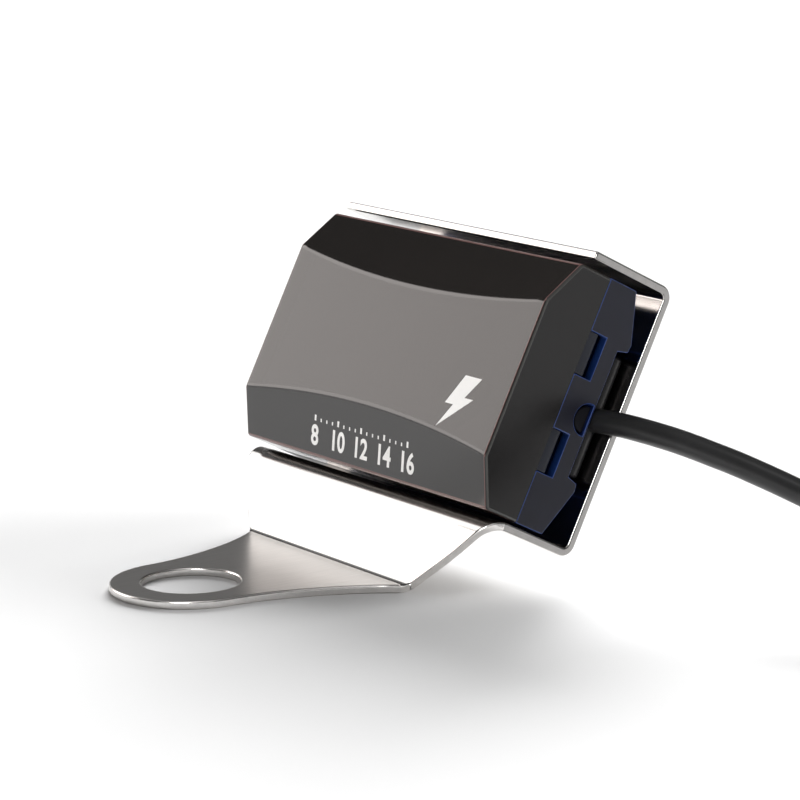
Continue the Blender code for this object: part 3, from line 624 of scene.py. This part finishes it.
def sweep(name, points, radii, sides=20):
    """Closed tube along points (mm), with a radius at each point."""
    rings = []
    normal = None
    for k, point in enumerate(points):
        along = (points[min(k + 1, len(points) - 1)] - points[max(k - 1, 0)]).normalized()
        if normal is None:
            normal = along.orthogonal().normalized()
        normal = (normal - along * normal.dot(along)).normalized()
        other = along.cross(normal)
        ring = []
        for side in range(sides):
            angle = 2.0 * math.pi * side / sides
            offset = normal * math.cos(angle) + other * math.sin(angle)
            ring.append((point + offset * radii[k]) * MM)
        rings.append(ring)
    mesh = loft(name, rings)
    mesh.shade_smooth()
    mesh.set_sharp_from_angle(angle=math.radians(50))
    return mesh


def make_core(colour, side, mat):
    """One stripped core beside the middle of the tail, with four twisted strands at its end."""
    radius = TAIL_R + side * CORE_SPREAD
    path = [on_coil(183.0 + 79.0 * k / 30, radius, CORE_Z) for k in range(31)]
    radii = [CORE_R] * 29 + [0.59, 0.55]
    pieces = [link("core_%s_insulated" % colour, sweep("core", path, radii, 16), [mat],
                   ("core_" + colour,), in_meter=False)]
    for strand in range(4):
        path = []
        for k in range(25):
            turn = math.pi / 2.0 * strand + 0.35 * k
            path.append(on_coil(261.0 + 20.0 * k / 24, radius + STRAND_SPREAD * math.cos(turn),
                                CORE_Z + STRAND_SPREAD * math.sin(turn)))
        mesh = sweep("strand", path, [STRAND_R] * 24 + [0.1], 8)
        pieces.append(link("core_%s_strand_%d" % (colour, strand + 1), mesh, [TIN],
                           in_meter=False))
    return pieces


def make_lead():
    """Jacketed lead down to the floor and round its coil, then the sleeve and the two cores."""
    landing = [tuple(on_coil(angle, COIL_OUTER_R, CABLE_R)) for angle in (0.0, 12.0)]
    route = smooth(LEAD_ROUTE + landing, 4)[:-4]
    steps = 150
    route += [coil_point(TAIL_END * k / steps) for k in range(1, steps + 1)]
    curve = bpy.data.curves.new("power_lead", "CURVE")
    curve.dimensions = "3D"
    curve.bevel_depth = CABLE_R * MM
    curve.bevel_resolution = 6
    curve.use_fill_caps = True
    spline = curve.splines.new("POLY")
    spline.points.add(len(route) - 1)
    for point, co in zip(spline.points, route):
        point.co = (*(co * MM), 1.0)
    spline.use_smooth = True
    lead = link("power_lead", curve, [JACKET],
                ("cable_lead", "cable_coil", "cable_tail"), in_meter=False)

    sleeve_path = [on_coil(153.0 + 31.0 * k / 12, TAIL_R, SLEEVE_Z) for k in range(13)]
    sleeve_radii = [1.45, 1.6, 1.72, 1.75, 1.74, 1.73, 1.74, 1.75, 1.74, 1.72, 1.66, 1.55, 1.4]
    pieces = [link("heat_shrink_sleeve", sweep("heat_shrink_sleeve", sleeve_path, sleeve_radii),
                   [RUBBER], ("end_sleeve",), in_meter=False)]
    pieces += make_core("red", -1, RED)
    pieces += make_core("black", 1, JACKET)


# Bracket -------------------------------------------------------------------------------------

def bracket_look(face):
    """The tab and its rim, which has a painted highlight, the strip's side edges, with a painted
    highlight in front and painted shade behind, painted shade on the hollow bend at the foot, and
    the satin rest."""
    point, normal = face.center / MM, face.normal
    if point.y < TAB_BACK_Y:
        return STEEL_RIM_PAINTED_HIGHLIGHT if abs(normal.z) < 0.5 else STEEL_TAB
    if abs(normal.x) > 0.3:
        return STEEL_RIM_PAINTED_HIGHLIGHT if point.y < PAINTED_HIGHLIGHT_EDGE_Y else STEEL_CUT_PAINTED_SHADE
    return STEEL_BEND_PAINTED_SHADE if point.z < PAINTED_SHADE_BEND_TOP_Z and 0.85 < normal.z < 0.995 else STEEL


def make_bracket():
    """Bent strip with its sheet edges just rounded."""
    bracket = link("steel_bracket", cad_copy("bracket", False), BRACKET_LOOKS,
                   ("bracket",), in_meter=False)
    # Painted highlights go on the rim and front edges, painted shade on the rear edges and the bend
    paint_faces(bracket, BRACKET_LOOKS, bracket_look)
    soften(bracket, 0.25, 4)
    bracket.modifiers["edges"].use_clamp_overlap = False


# Housing -------------------------------------------------------------------------------------

def crease(x):
    """Height of the face's upper crease, which dips towards the middle."""
    share = x / HOUSING_HALF_W
    return CREASE_U - CREASE_SAG * (1.0 - share * share)


def cover_section(x, inset, rim_n):
    """Section of the cover at x, from its rim round the face, moved inwards by an inset."""
    edge_u, face_n = HOUSING_HALF_H - inset, FACE_N - inset
    edge_n = COVER_EDGE_N - 0.55 * inset
    face_u = crease(x) - 0.45 * inset
    half = [(edge_u, rim_n), (edge_u, edge_n), (face_u, face_n)]
    return [at(x, u, n) for u, n in half + [(-u, n) for u, n in reversed(half)]]


def tongue(side, level):
    """Locating tongue on the cover's rim, thinner towards its free end."""
    section = [(TONGUE_IN_X, 0.7), (TONGUE_OUT_X, 0.7), (TONGUE_OUT_X, -1.0), (23.84, -1.3),
               (23.55, -1.58), (23.2, TONGUE_TIP_N), (TONGUE_IN_X, TONGUE_TIP_N)]
    middle, half = level * TONGUE_U, TONGUE_W / 2.0 + 0.2
    return loft("tongue", [[at(x * side, u, n) for x, n in section]
                           for u in (middle - half, middle + half)])


def edge_look(x, n, turn):
    """Rounded edge of the cover, with the share of its normal along x: plain on the creases,
    a pinkish painted highlight along the top and bottom, and round the ends a pinkish painted
    highlight, a painted dark reflection line and a rim with a painted highlight."""
    if n < 1.0:
        return COVER
    if abs(x) < HOUSING_HALF_W - EDGE_R:
        return COVER if n > COVER_EDGE_N + 1.0 else COVER_EDGE_PAINTED_HIGHLIGHT
    if turn < 0.38:
        return COVER_EDGE_PAINTED_HIGHLIGHT
    return COVER_PAINTED_DARK_LINE if turn < 0.7 else COVER_RIM_PAINTED_HIGHLIGHT


def cover_look(face):
    """Window, tongues, rounded edges with painted highlights and a painted dark line, flat ends in
    painted shade, and the plain rest.
    """
    x, u, n = face_place(face)
    if abs(face.normal.y) > 0.999 and n > FACE_N - WALL - 0.2:
        return WINDOW
    if n < 0.0 and abs(x) > TONGUE_IN_X - 0.05:
        return TONGUE
    if face.material_index == COVER_LOOKS.index(COVER_EDGE_PAINTED_HIGHLIGHT):
        return edge_look(x, n, abs(face.normal.x))
    return COVER_SIDE_PAINTED_SHADE if abs(face.normal.x) > 0.95 else COVER


def make_cover():
    """Hollow smoked cover: edges rounded, cavity and rim cut, and its four tongues joined on."""
    stations = [HOUSING_HALF_W * k / 16.0 for k in range(-16, 17)]
    outer = loft("cover", [cover_section(x, 0.0, RIM_N) for x in stations])
    cover = link("smoked_cover", outer, COVER_LOOKS, ("front_cover",))
    # The bevel faces start with the painted highlight material
    soften(cover, EDGE_R, 4, 20.0, slot=1)
    cover.modifiers.remove(cover.modifiers["shading"])
    apply_all(cover)
    stations = [(HOUSING_HALF_W - WALL) * k / 16.0 for k in range(-16, 17)]
    inner = loft("cavity", [cover_section(x, WALL, -4.0) for x in stations])
    with_tools(cover, [inner, box((-30.0, 30.0), (-20.0, 20.0), (-3.0, SEAM))], "DIFFERENCE")
    with_tools(cover, [tongue(side, level) for side in (-1, 1) for level in (-1, 1)], "UNION")
    close_gaps(cover)
    paint_faces(cover, COVER_LOOKS, cover_look)
    cover.data.shade_smooth()
    cover.data.set_sharp_from_angle(angle=math.radians(34))
    weighted = cover.modifiers.new("shading", "WEIGHTED_NORMAL")
    weighted.weight = 90
    weighted.keep_sharp = True


def cable_notch():
    """Cutter for the round cable notch, flat where the lip stays, through the right-hand end."""
    circle = []
    for step in range(48):
        turn = math.tau * step / 48
        circle.append((CABLE_NOTCH_U + CABLE_NOTCH_R * math.cos(turn),
                       max(CABLE_NOTCH_N + CABLE_NOTCH_R * math.sin(turn), NOTCH_LIP_N)))
    return loft("notch", [[at(x, u, n) for u, n in circle]
                          for x in (HOUSING_HALF_W - CABLE_NOTCH_LENGTH, HOUSING_HALF_W + 1.0)])


def shell_look(face):
    """Walls of the four notches in painted blue light, everything further back in a painted blue
    glow, and the navy rest.
    """
    x, u, n = face_place(face)
    if abs(face.normal.x) >= 0.5:
        return NAVY
    in_notch = abs(x) > HOUSING_HALF_W - WALL - 0.6 and abs(u) < NOTCH_REACH_U
    if in_notch and n >= -NOTCH_DEPTH - 0.01:
        return NAVY_SLOT_PAINTED_LIGHT
    return NAVY_BACK_PAINTED_GLOW if n < -NOTCH_DEPTH - 0.1 else NAVY


def make_shell():
    """Navy shell with the notches for the tongues, its cavity, the back pocket and two holes."""
    upper = [(HOUSING_HALF_H, -SEAM), (HOUSING_HALF_H, SHELL_EDGE_N), (RIB_U, RIB_N),
             (POCKET_U + 0.35, RIB_N + 0.15), (POCKET_U, POCKET_N)]
    section = upper + [(-u, n) for u, n in reversed(upper)]
    mesh = loft("shell", [[at(x, u, n) for u, n in section]
                          for x in (-HOUSING_HALF_W, HOUSING_HALF_W)])
    shell = link("navy_shell", mesh, SHELL_LOOKS, ("rear_shell",))
    inside_x, inside_u = HOUSING_HALF_W - WALL, HOUSING_HALF_H - WALL
    tools = [box((-inside_x, inside_x), (-inside_u, inside_u), (CAVITY_FLOOR_N, 1.0))]
    for side in (-1, 1):
        x = sorted((side * (inside_x - 0.5), side * (HOUSING_HALF_W + 1.0)))
        for level in (-1, 1):
            middle, half = level * TONGUE_U, TONGUE_W / 2.0 + GAP
            tools.append(box(x, (middle - half, middle + half), (-NOTCH_DEPTH, 1.0)))
    tools.append(cable_notch())
    tools.append(rod(WIRE_HOLE_R, 4.0, at(WIRE_X, CABLE_NOTCH_U, POCKET_N)))
    with_tools(shell, tools, "DIFFERENCE")
    paint_faces(shell, SHELL_LOOKS, shell_look)
    # The rounded edges get the painted blue highlight material
    soften(shell, SHELL_EDGE_R, 3, 24.0, slot=1)
    shell.modifiers["edges"].use_clamp_overlap = False


def make_block():
    """Round-ended block in the back pocket, with seats for the two inserts and the wire hole."""
    half_u = POCKET_U - GAP
    front, back = BLOCK_FRONT_N, BLOCK_BACK_N
    middle_n, reach_n = (front + back) / 2.0, (front - back) / 2.0 - BLOCK_END_R
    points = []
    corners = ((1, 1), (-1, 1), (-1, -1), (1, -1))
    for quarter, (x_side, n_side) in enumerate(corners):
        for step in range(13):
            angle = math.pi / 2.0 * (quarter + step / 12)
            points.append((x_side * (BLOCK_HALF_W - BLOCK_END_R) + BLOCK_END_R * math.cos(angle),
                           middle_n + n_side * reach_n + BLOCK_END_R * math.sin(angle)))
    mesh = loft("block", [[at(x, u, n) for x, n in points] for u in (-half_u, half_u)])
    block = link("mounting_block", mesh, [BLOCK_PAINTED_SHADE], ("rear_block",))
    tools = [rod(INSERT_SEAT_R, INSERT_SEAT_DEPTH, at(side * SCREW_X, 0.0, back))
             for side in (-1, 1)]
    tools.append(rod(WIRE_HOLE_R, 2.0, at(WIRE_X, CABLE_NOTCH_U, front)))
    with_tools(block, tools, "DIFFERENCE")
    soften(block, 0.35, 3, 40.0)


# Printing on the cover -----------------------------------------------------------------------

def flat_shape(name, outline, height):
    """Thin closed plate from a closed outline in x and u (mm), from 0 to its height."""
    return loft(name, [[(x, u, h) for x, u in outline] for h in (0.0, height)])


def number_shape(number):
    """Closed solid of a number in Blender's own font, thickened and centred (mm)."""
    curve = bpy.data.curves.new("text", "FONT")
    curve.body = str(number)
    curve.size = NUMBER_SIZE
    curve.align_x = "CENTER"
    curve.extrude = PRINT_HEIGHT / 2.0
    curve.offset = NUMBER_BOLD
    curve.resolution_u = 6
    holder = bpy.data.objects.new("text", curve)
    bpy.context.scene.collection.objects.link(holder)
    bpy.context.view_layer.update()
    graph = bpy.context.evaluated_depsgraph_get()
    mesh = bpy.data.meshes.new_from_object(holder.evaluated_get(graph))
    bpy.data.objects.remove(holder, do_unlink=True)
    bm = bmesh.new()
    bm.from_mesh(mesh)
    bmesh.ops.remove_doubles(bm, verts=bm.verts, dist=0.0005)
    bmesh.ops.translate(bm, vec=(0.0, 0.0, PRINT_HEIGHT / 2.0), verts=bm.verts)
    return to_mesh("text", bm)


def lay(parts, place):
    """One mesh from parts, each a mesh and an (x, u) shift, laid on a surface by place(x, u, h)."""
    bm = bmesh.new()
    for mesh, shift in parts:
        start = len(bm.verts)
        bm.from_mesh(mesh)
        bm.verts.ensure_lookup_table()
        for vert in bm.verts[start:]:
            vert.co = place(vert.co.x + shift[0], vert.co.y + shift[1], vert.co.z)
    return to_mesh("print", bm)


def on_window(x, u, height):
    """Point on the flat window, lifted by a height."""
    return at(x, u, FACE_N - 0.01 + height)


def on_lower_facet(x, u, height):
    """Point over the sloping facet under the window at height u, lifted square to the slope."""
    top_u, bottom_u = -crease(x), -HOUSING_HALF_H
    share = (top_u - u) / (top_u - bottom_u)
    n = FACE_N + (COVER_EDGE_N - FACE_N) * share
    slope = math.atan2(FACE_N - COVER_EDGE_N, top_u - bottom_u)
    lift = height - 0.01
    return at(x, u - lift * math.sin(slope), n + lift * math.cos(slope))


def make_prints():
    """A flash beside the display, and under it a plain scale of numbers with small ticks."""
    flash = [(-0.5, 3.1), (2.5, 3.1), (0.75, 0.65), (2.35, 0.65), (-2.3, -3.1), (-0.75, -0.35),
             (-2.25, -0.35)]
    mesh = lay([(flat_shape("flash", flash, PRINT_HEIGHT), FLASH_PLACE)], on_window)
    link("printed_flash", mesh, [INK])
    parts = []
    for k, volts in enumerate((8, 10, 12, 14, 16)):
        parts.append((number_shape(volts), (SCALE_FIRST_X + SCALE_PITCH * k, SCALE_U)))
    for k in range(17):
        half, tall = (0.17, 0.62) if k % 4 == 0 else (0.11, 0.36)
        tick = [(-half, 0.0), (half, 0.0), (half, tall), (-half, tall)]
        parts.append((flat_shape("tick", tick, PRINT_HEIGHT),
                      (SCALE_FIRST_X + SCALE_PITCH * k / 4.0, SCALE_U + TICKS_UP)))
    link("printed_scale", lay(parts, on_lower_facet), [INK])


# Display and board ---------------------------------------------------------------------------

def limits(node):
    """Lowest and highest x, u and n of a CAD node, in mm."""
    turn = METER_FRAME.inverted()
    points = [turn @ v.co / MM for v in frame["nodes"][node].data.vertices]
    spans = []
    for k, sign in ((0, 1), (2, 1), (1, -1)):
        values = [sign * p[k] for p in points]
        spans.append((min(values), max(values)))
    return spans


def bar(length, width):
    """Six-sided segment of a digit, lying along x."""
    half, tip = length / 2.0, width / 2.0
    return [(-half, 0.0), (-half + tip, tip), (half - tip, tip), (half, 0.0),
            (half - tip, -tip), (-half + tip, -tip)]


def make_digits():
    """Seven unlit segments and a point on a dark carrier, for each digit."""
    wide, tall, stroke, lean = 4.5, 4.3, 1.05, math.tan(math.radians(8.0))
    point_r, depth = 0.55, 0.45
    segments = [(0.0, tall, 0), (0.0, 0.0, 0), (0.0, -tall, 0)]
    segments += [(side * wide / 2.0, level * tall / 2.0, 1)
                 for side in (-1, 1) for level in (-1, 1)]
    for k in (1, 2, 3):
        node = "digit_%d" % k
        (x0, x1), (u0, u1), (n0, n1) = limits(node)
        middle = (x0 + x1) / 2.0 - 0.35
        parts = []
        for x, u, upright in segments:
            outline = bar((tall if upright else wide) - 0.3, stroke)
            if upright:
                outline = [(b, a) for a, b in outline]
            outline = [(a + x, b + u) for a, b in outline]
            outline = [(a + b * lean, b) for a, b in outline]
            parts.append((flat_shape("segment", outline, depth), (middle, 0.0)))
        point = [(point_r * math.cos(math.pi * j / 12), point_r * math.sin(math.pi * j / 12))
                 for j in range(24)]
        parts.append((flat_shape("point", point, depth), (x1 - 0.65, -tall + 0.1)))
        mesh = lay(parts, lambda x, u, h: at(x, u, n1 - depth + h))
        link(node + "_segments", mesh, [DIGIT], (node,))
        carrier = link(node + "_carrier", box((x0, x1), (u0, u1), (n0, n1 - 0.5)), [BLACK])
        soften(carrier, 0.08, 2)


def make_display_case():
    """Case of the digits with two rows of pins through the board, and the window's mask."""
    rounded_copy("led_case", "display_body", BLACK, 0.15, 2)
    rounded_copy("window_mask", "display_mask", BLACK, 0.1, 2)
    u_span, n_span = limits("display_body")[1:]
    back = n_span[0]
    for row, u in enumerate((u_span[0] + 1.2, u_span[1] - 1.2)):
        for k in range(5):
            x = LED_X + LED_PIN_PITCH * (k - 2)
            path = [Vector((x, -n, u)) for n in (back + 0.2, back - 0.1, PCB_BACK_N - 0.55)]
            mesh = sweep("pin", path, [0.25, 0.25, 0.2], 10)
            link("led_pin_%d_%d" % (row + 1, k + 1), mesh, [TIN])


def gull_lead(edge, across, side, reach, foot, height, front, rows):
    """Three short lengths of flat lead: out of the body, down, and along the board."""
    route = ((-0.15, 0.5), (0.22, 0.5), (0.42, 0.1), (reach, 0.06))
    lengths = []
    for length in zip(route, route[1:]):
        rings = []
        for out, share in length:
            ring = []
            for w, t in ((-0.19, -0.06), (0.19, -0.06), (0.19, 0.06), (-0.19, 0.06)):
                n = foot + height * share + (t if front else -t)
                place = (across + w, edge + side * out)
                x, u = place if rows == "u" else place[::-1]
                ring.append(at(x, u, n))
            rings.append(ring)
        lengths.append(loft("lead", rings))
    return lengths


def package(name, node, rows, count, pitch):
    """Moulded chip body with gull-wing leads; rows is the axis whose two sides carry them."""
    (x0, x1), (u0, u1), (n0, n1) = limits(node)
    front = n0 > PCB_BACK_N
    foot, head = (n0 - 0.28, n1) if front else (n1 + 0.28, n0)
    height = head - foot
    reach = {"x": 0.7, "u": 0.75}[rows]
    if rows == "x":
        xa, xb, ua, ub = x0 + reach, x1 - reach, u0, u1
    else:
        xa, xb, ua, ub = x0, x1, u0 + reach, u1 - reach
    rings = []
    for share, inset in ((0.08, 0.08), (0.5, 0.0), (0.55, 0.0), (0.94, 0.12), (1.0, 0.2)):
        n = foot + height * share
        corners = ((xa + inset, ua + inset), (xb - inset, ua + inset),
                   (xb - inset, ub - inset), (xa + inset, ub - inset))
        rings.append([at(x, u, n) for x, u in corners])
    soften(link(name, loft(name, rings), [CHIP_BLACK], (node,)), 0.05, 2)
    edges, middle = ((xa, xb), (u0 + u1) / 2.0) if rows == "x" else ((ua, ub), (x0 + x1) / 2.0)
    bm = bmesh.new()
    for side, edge in zip((-1, 1), edges):
        for k in range(count):
            across = middle + (k - (count - 1) / 2.0) * pitch
            for mesh in gull_lead(edge, across, side, reach, foot, height, front, rows):
                bm.from_mesh(mesh)
    link(name + "_leads", to_mesh("leads", bm), [TIN])


def ended_block(name, node, mat):
    """Chip capacitor or resistor with its two tinned ends."""
    (x0, x1), (u0, u1), n_span = limits(node)
    soften(link(name, box((x0 + 0.35, x1 - 0.35), (u0 + 0.04, u1 - 0.04),
                          (n_span[0] + 0.03, n_span[1] - 0.03)), [mat], (node,)), 0.05, 2)
    for side, span in (("a", (x0, x0 + 0.42)), ("b", (x1 - 0.42, x1))):
        soften(link(name + "_end_" + side, box(span, (u0, u1), n_span), [TIN]), 0.08, 3)


def polar(radius, turn, back, centre):
    """Point round a centre in metres: a radius and an angle across n, and a way against n."""
    return Vector((radius * math.cos(turn), back, radius * math.sin(turn))) * MM + centre


def turned(profile, centre, steps=48, flip=False):
    """Turned mesh along n: (radius, height) from the axis on top down the outer side to the
    axis again; flip turns it to face out of the back."""
    bm = bmesh.new()
    rows = []
    for r, h in profile:
        count = steps if r > 0.0 else 1
        rows.append([bm.verts.new(polar(r, math.tau * k / steps, h if flip else -h, centre))
                     for k in range(count)])
    for a, b in zip(rows, rows[1:]):
        for k in range(steps):
            other = (k + 1) % steps
            if len(a) == 1:
                bm.faces.new((a[0], b[other], b[k]))
            elif len(b) == 1:
                bm.faces.new((a[k], a[other], b[0]))
            else:
                bm.faces.new((a[k], a[other], b[other], b[k]))
    mesh = to_mesh("turned", bm)
    mesh.shade_smooth()
    mesh.set_sharp_from_angle(angle=math.radians(35))
    return mesh


def threaded(outer, depth, pitch, top, length):
    """Profile of a thread's crests and roots, from a height down."""
    points = []
    for k in range(int(length / pitch)):
        h = top - k * pitch
        points += [(outer - depth, h), (outer, h - pitch * 0.35), (outer, h - pitch * 0.5)]
    return points


def cross_recess(x, u, half, slot, n):
    """The two cutters of a screw's cross recess."""
    return [box((x - half, x + half), (u - slot, u + slot), n),
            box((x - slot, x + slot), (u - half, u + half), n)]


def make_electronics():
    """Board with its soldered parts, and the seal round it."""
    rounded_copy("circuit_board_fine", "circuit_board", BOARD, 0.06, 1)
    package("microcontroller_package", "microcontroller", "u", 8, 1.2)
    for k in (1, 2, 3):
        package("digit_driver_package_%d" % k, "digit_driver_%d" % k, "x", 1, 1.0)
    package("regulator_package", "voltage_regulator", "x", 2, 1.3)
    package("diode_package", "input_diode", "x", 2, 1.0)
    for k in (1, 2):
        ended_block("ceramic_capacitor_chip_%d" % k, "ceramic_capacitor_%d" % k, CERAMIC)
        ended_block("divider_resistor_chip_%d" % k, "divider_resistor_%d" % k, CHIP_BLACK)
    (x0, x1), (u0, u1), (n0, n1) = limits("smoothing_capacitor")
    centre = at((x0 + x1) / 2.0, (u0 + u1) / 2.0, n0)
    can = [(0.0, 3.84), (1.62, 3.84), (1.66, 3.9), (1.78, 3.9), (1.93, 3.8), (2.0, 3.62),
           (2.0, 1.12), (1.95, 0.98), (1.84, 0.86), (1.84, 0.74), (1.95, 0.62), (2.0, 0.5),
           (2.0, 0.0), (0.0, 0.0)]
    link("smoothing_capacitor_can", turned(can, centre), [CAN],
         ("smoothing_capacitor",))
    rounded_copy("gasket_ring", "seal_gasket", RUBBER, 0.2, 3)


# Fasteners -----------------------------------------------------------------------------------

def make_board_screws():
    """Four pan-head screws with a thread and a cross recess."""
    for k in (1, 2, 3, 4):
        node = "board_screw_%d" % k
        (x0, x1), (u0, u1), (n0, n1) = limits(node)
        x, u = (x0 + x1) / 2.0, (u0 + u1) / 2.0
        centre = at(x, u, n1 - 0.75)
        head = [(0.0, 0.75), (0.5, 0.74), (0.85, 0.68), (1.1, 0.52), (1.22, 0.3), (1.25, 0.06),
                (1.2, 0.0)]
        profile = head + threaded(0.72, 0.14, 0.3, -0.1, 2.1) + [(0.35, -2.25), (0.0, -2.4)]
        screw = link(node + "_fine", turned(profile, centre, 32), [ZINC], (node,))
        with_tools(screw, cross_recess(x, u, 0.62, 0.13, (n1 - 0.4, n1 + 1.0)), "DIFFERENCE")
        screw.data.set_sharp_from_angle(angle=math.radians(35))


def split_ring(inner, outer, thick, centre):
    """Split lock washer: a flat bar bent to a circle with a slanted gap and a slight spring."""
    steps, spring, gap_slant = 60, 0.12, 0.1
    rings = []
    for k in range(steps + 1):
        share = k / steps
        angle = math.radians(100.0 + 348.0 * share)
        ring = []
        for r, h in ((inner, 0.0), (outer, 0.0), (outer, thick), (inner, thick)):
            turn = angle + (h / thick - 0.5) * gap_slant
            ring.append(polar(r, turn, h + spring * share, centre))
        rings.append(ring)
    return loft("split_ring", rings)


def knurled(centre):
    """Brass insert: a ring with two knurled bands round a plain waist."""
    teeth = 60
    profile = ((2.1, -0.02, 1), (2.1, -0.6, 1), (1.86, -0.66, 0), (1.86, -1.0, 0),
               (2.1, -1.06, 1), (2.1, -1.72, 1), (1.55, -1.74, 0), (1.55, 0.0, 0))
    bm = bmesh.new()
    rings = []
    for radius, back, rough in profile:
        ring = []
        for k in range(teeth):
            r = radius - (0.1 if rough and k % 2 else 0.0)
            ring.append(bm.verts.new(polar(r, math.tau * k / teeth, back, centre)))
        rings.append(ring)
    for a, b in zip(rings, rings[1:] + rings[:1]):
        for k in range(teeth):
            other = (k + 1) % teeth
            bm.faces.new((a[k], a[other], b[other], b[k]))
    return to_mesh("knurled", bm)


def make_back_fasteners():
    """Screw, split washer and insert on each side, facing out of the bracket's back."""
    for name, side in (("left", -1), ("right", 1)):
        x = side * SCREW_X
        washer, insert = "lock_washer_" + name, "threaded_insert_" + name
        washer_n = limits(washer)[2]
        ring = split_ring(1.62, 2.3, 0.48, at(x, 0.0, washer_n[1]))
        soften(link("split_" + washer, ring, [ZINC], (washer,)), 0.07, 2)
        node = "bracket_screw_" + name
        seat = washer_n[0] - 0.15
        head = [(0.0, 1.6), (0.7, 1.59), (1.3, 1.5), (1.8, 1.28), (2.12, 0.92), (2.24, 0.5),
                (2.25, 0.08), (2.18, 0.0)]
        profile = head + threaded(1.25, 0.18, 0.45, -0.05, 3.5) + [(0.8, -3.8), (0.0, -3.9)]
        screw = link(node + "_fine", turned(profile, at(x, 0.0, seat), 40, flip=True), [ZINC],
                     (node,))
        with_tools(screw, cross_recess(x, 0.0, 1.2, 0.26, (seat - 3.0, seat - 0.75)),
                   "DIFFERENCE")
        screw.data.set_sharp_from_angle(angle=math.radians(35))
        link("knurled_" + insert, knurled(at(x, 0.0, limits(insert)[2][0])), [BRASS],
             (insert,))


# Carried-over CAD nodes ----------------------------------------------------------------------

def dress(node, mat):
    """Give a CAD node a material."""
    materials = frame["nodes"][node].data.materials
    materials.clear()
    materials.append(mat)


make_camera()
make_floor()
make_lead()
make_bracket()
make_lights()
make_world()
make_cover()
make_shell()
rounded_copy("cable_grommet", "notch_grommet", GROMMET, 0.18, 3)
make_block()
make_prints()
make_digits()
make_display_case()
make_electronics()
make_board_screws()
make_back_fasteners()
dress("inner_wire_red", RED)
dress("inner_wire_black", JACKET)

bpy.context.view_layer.update()
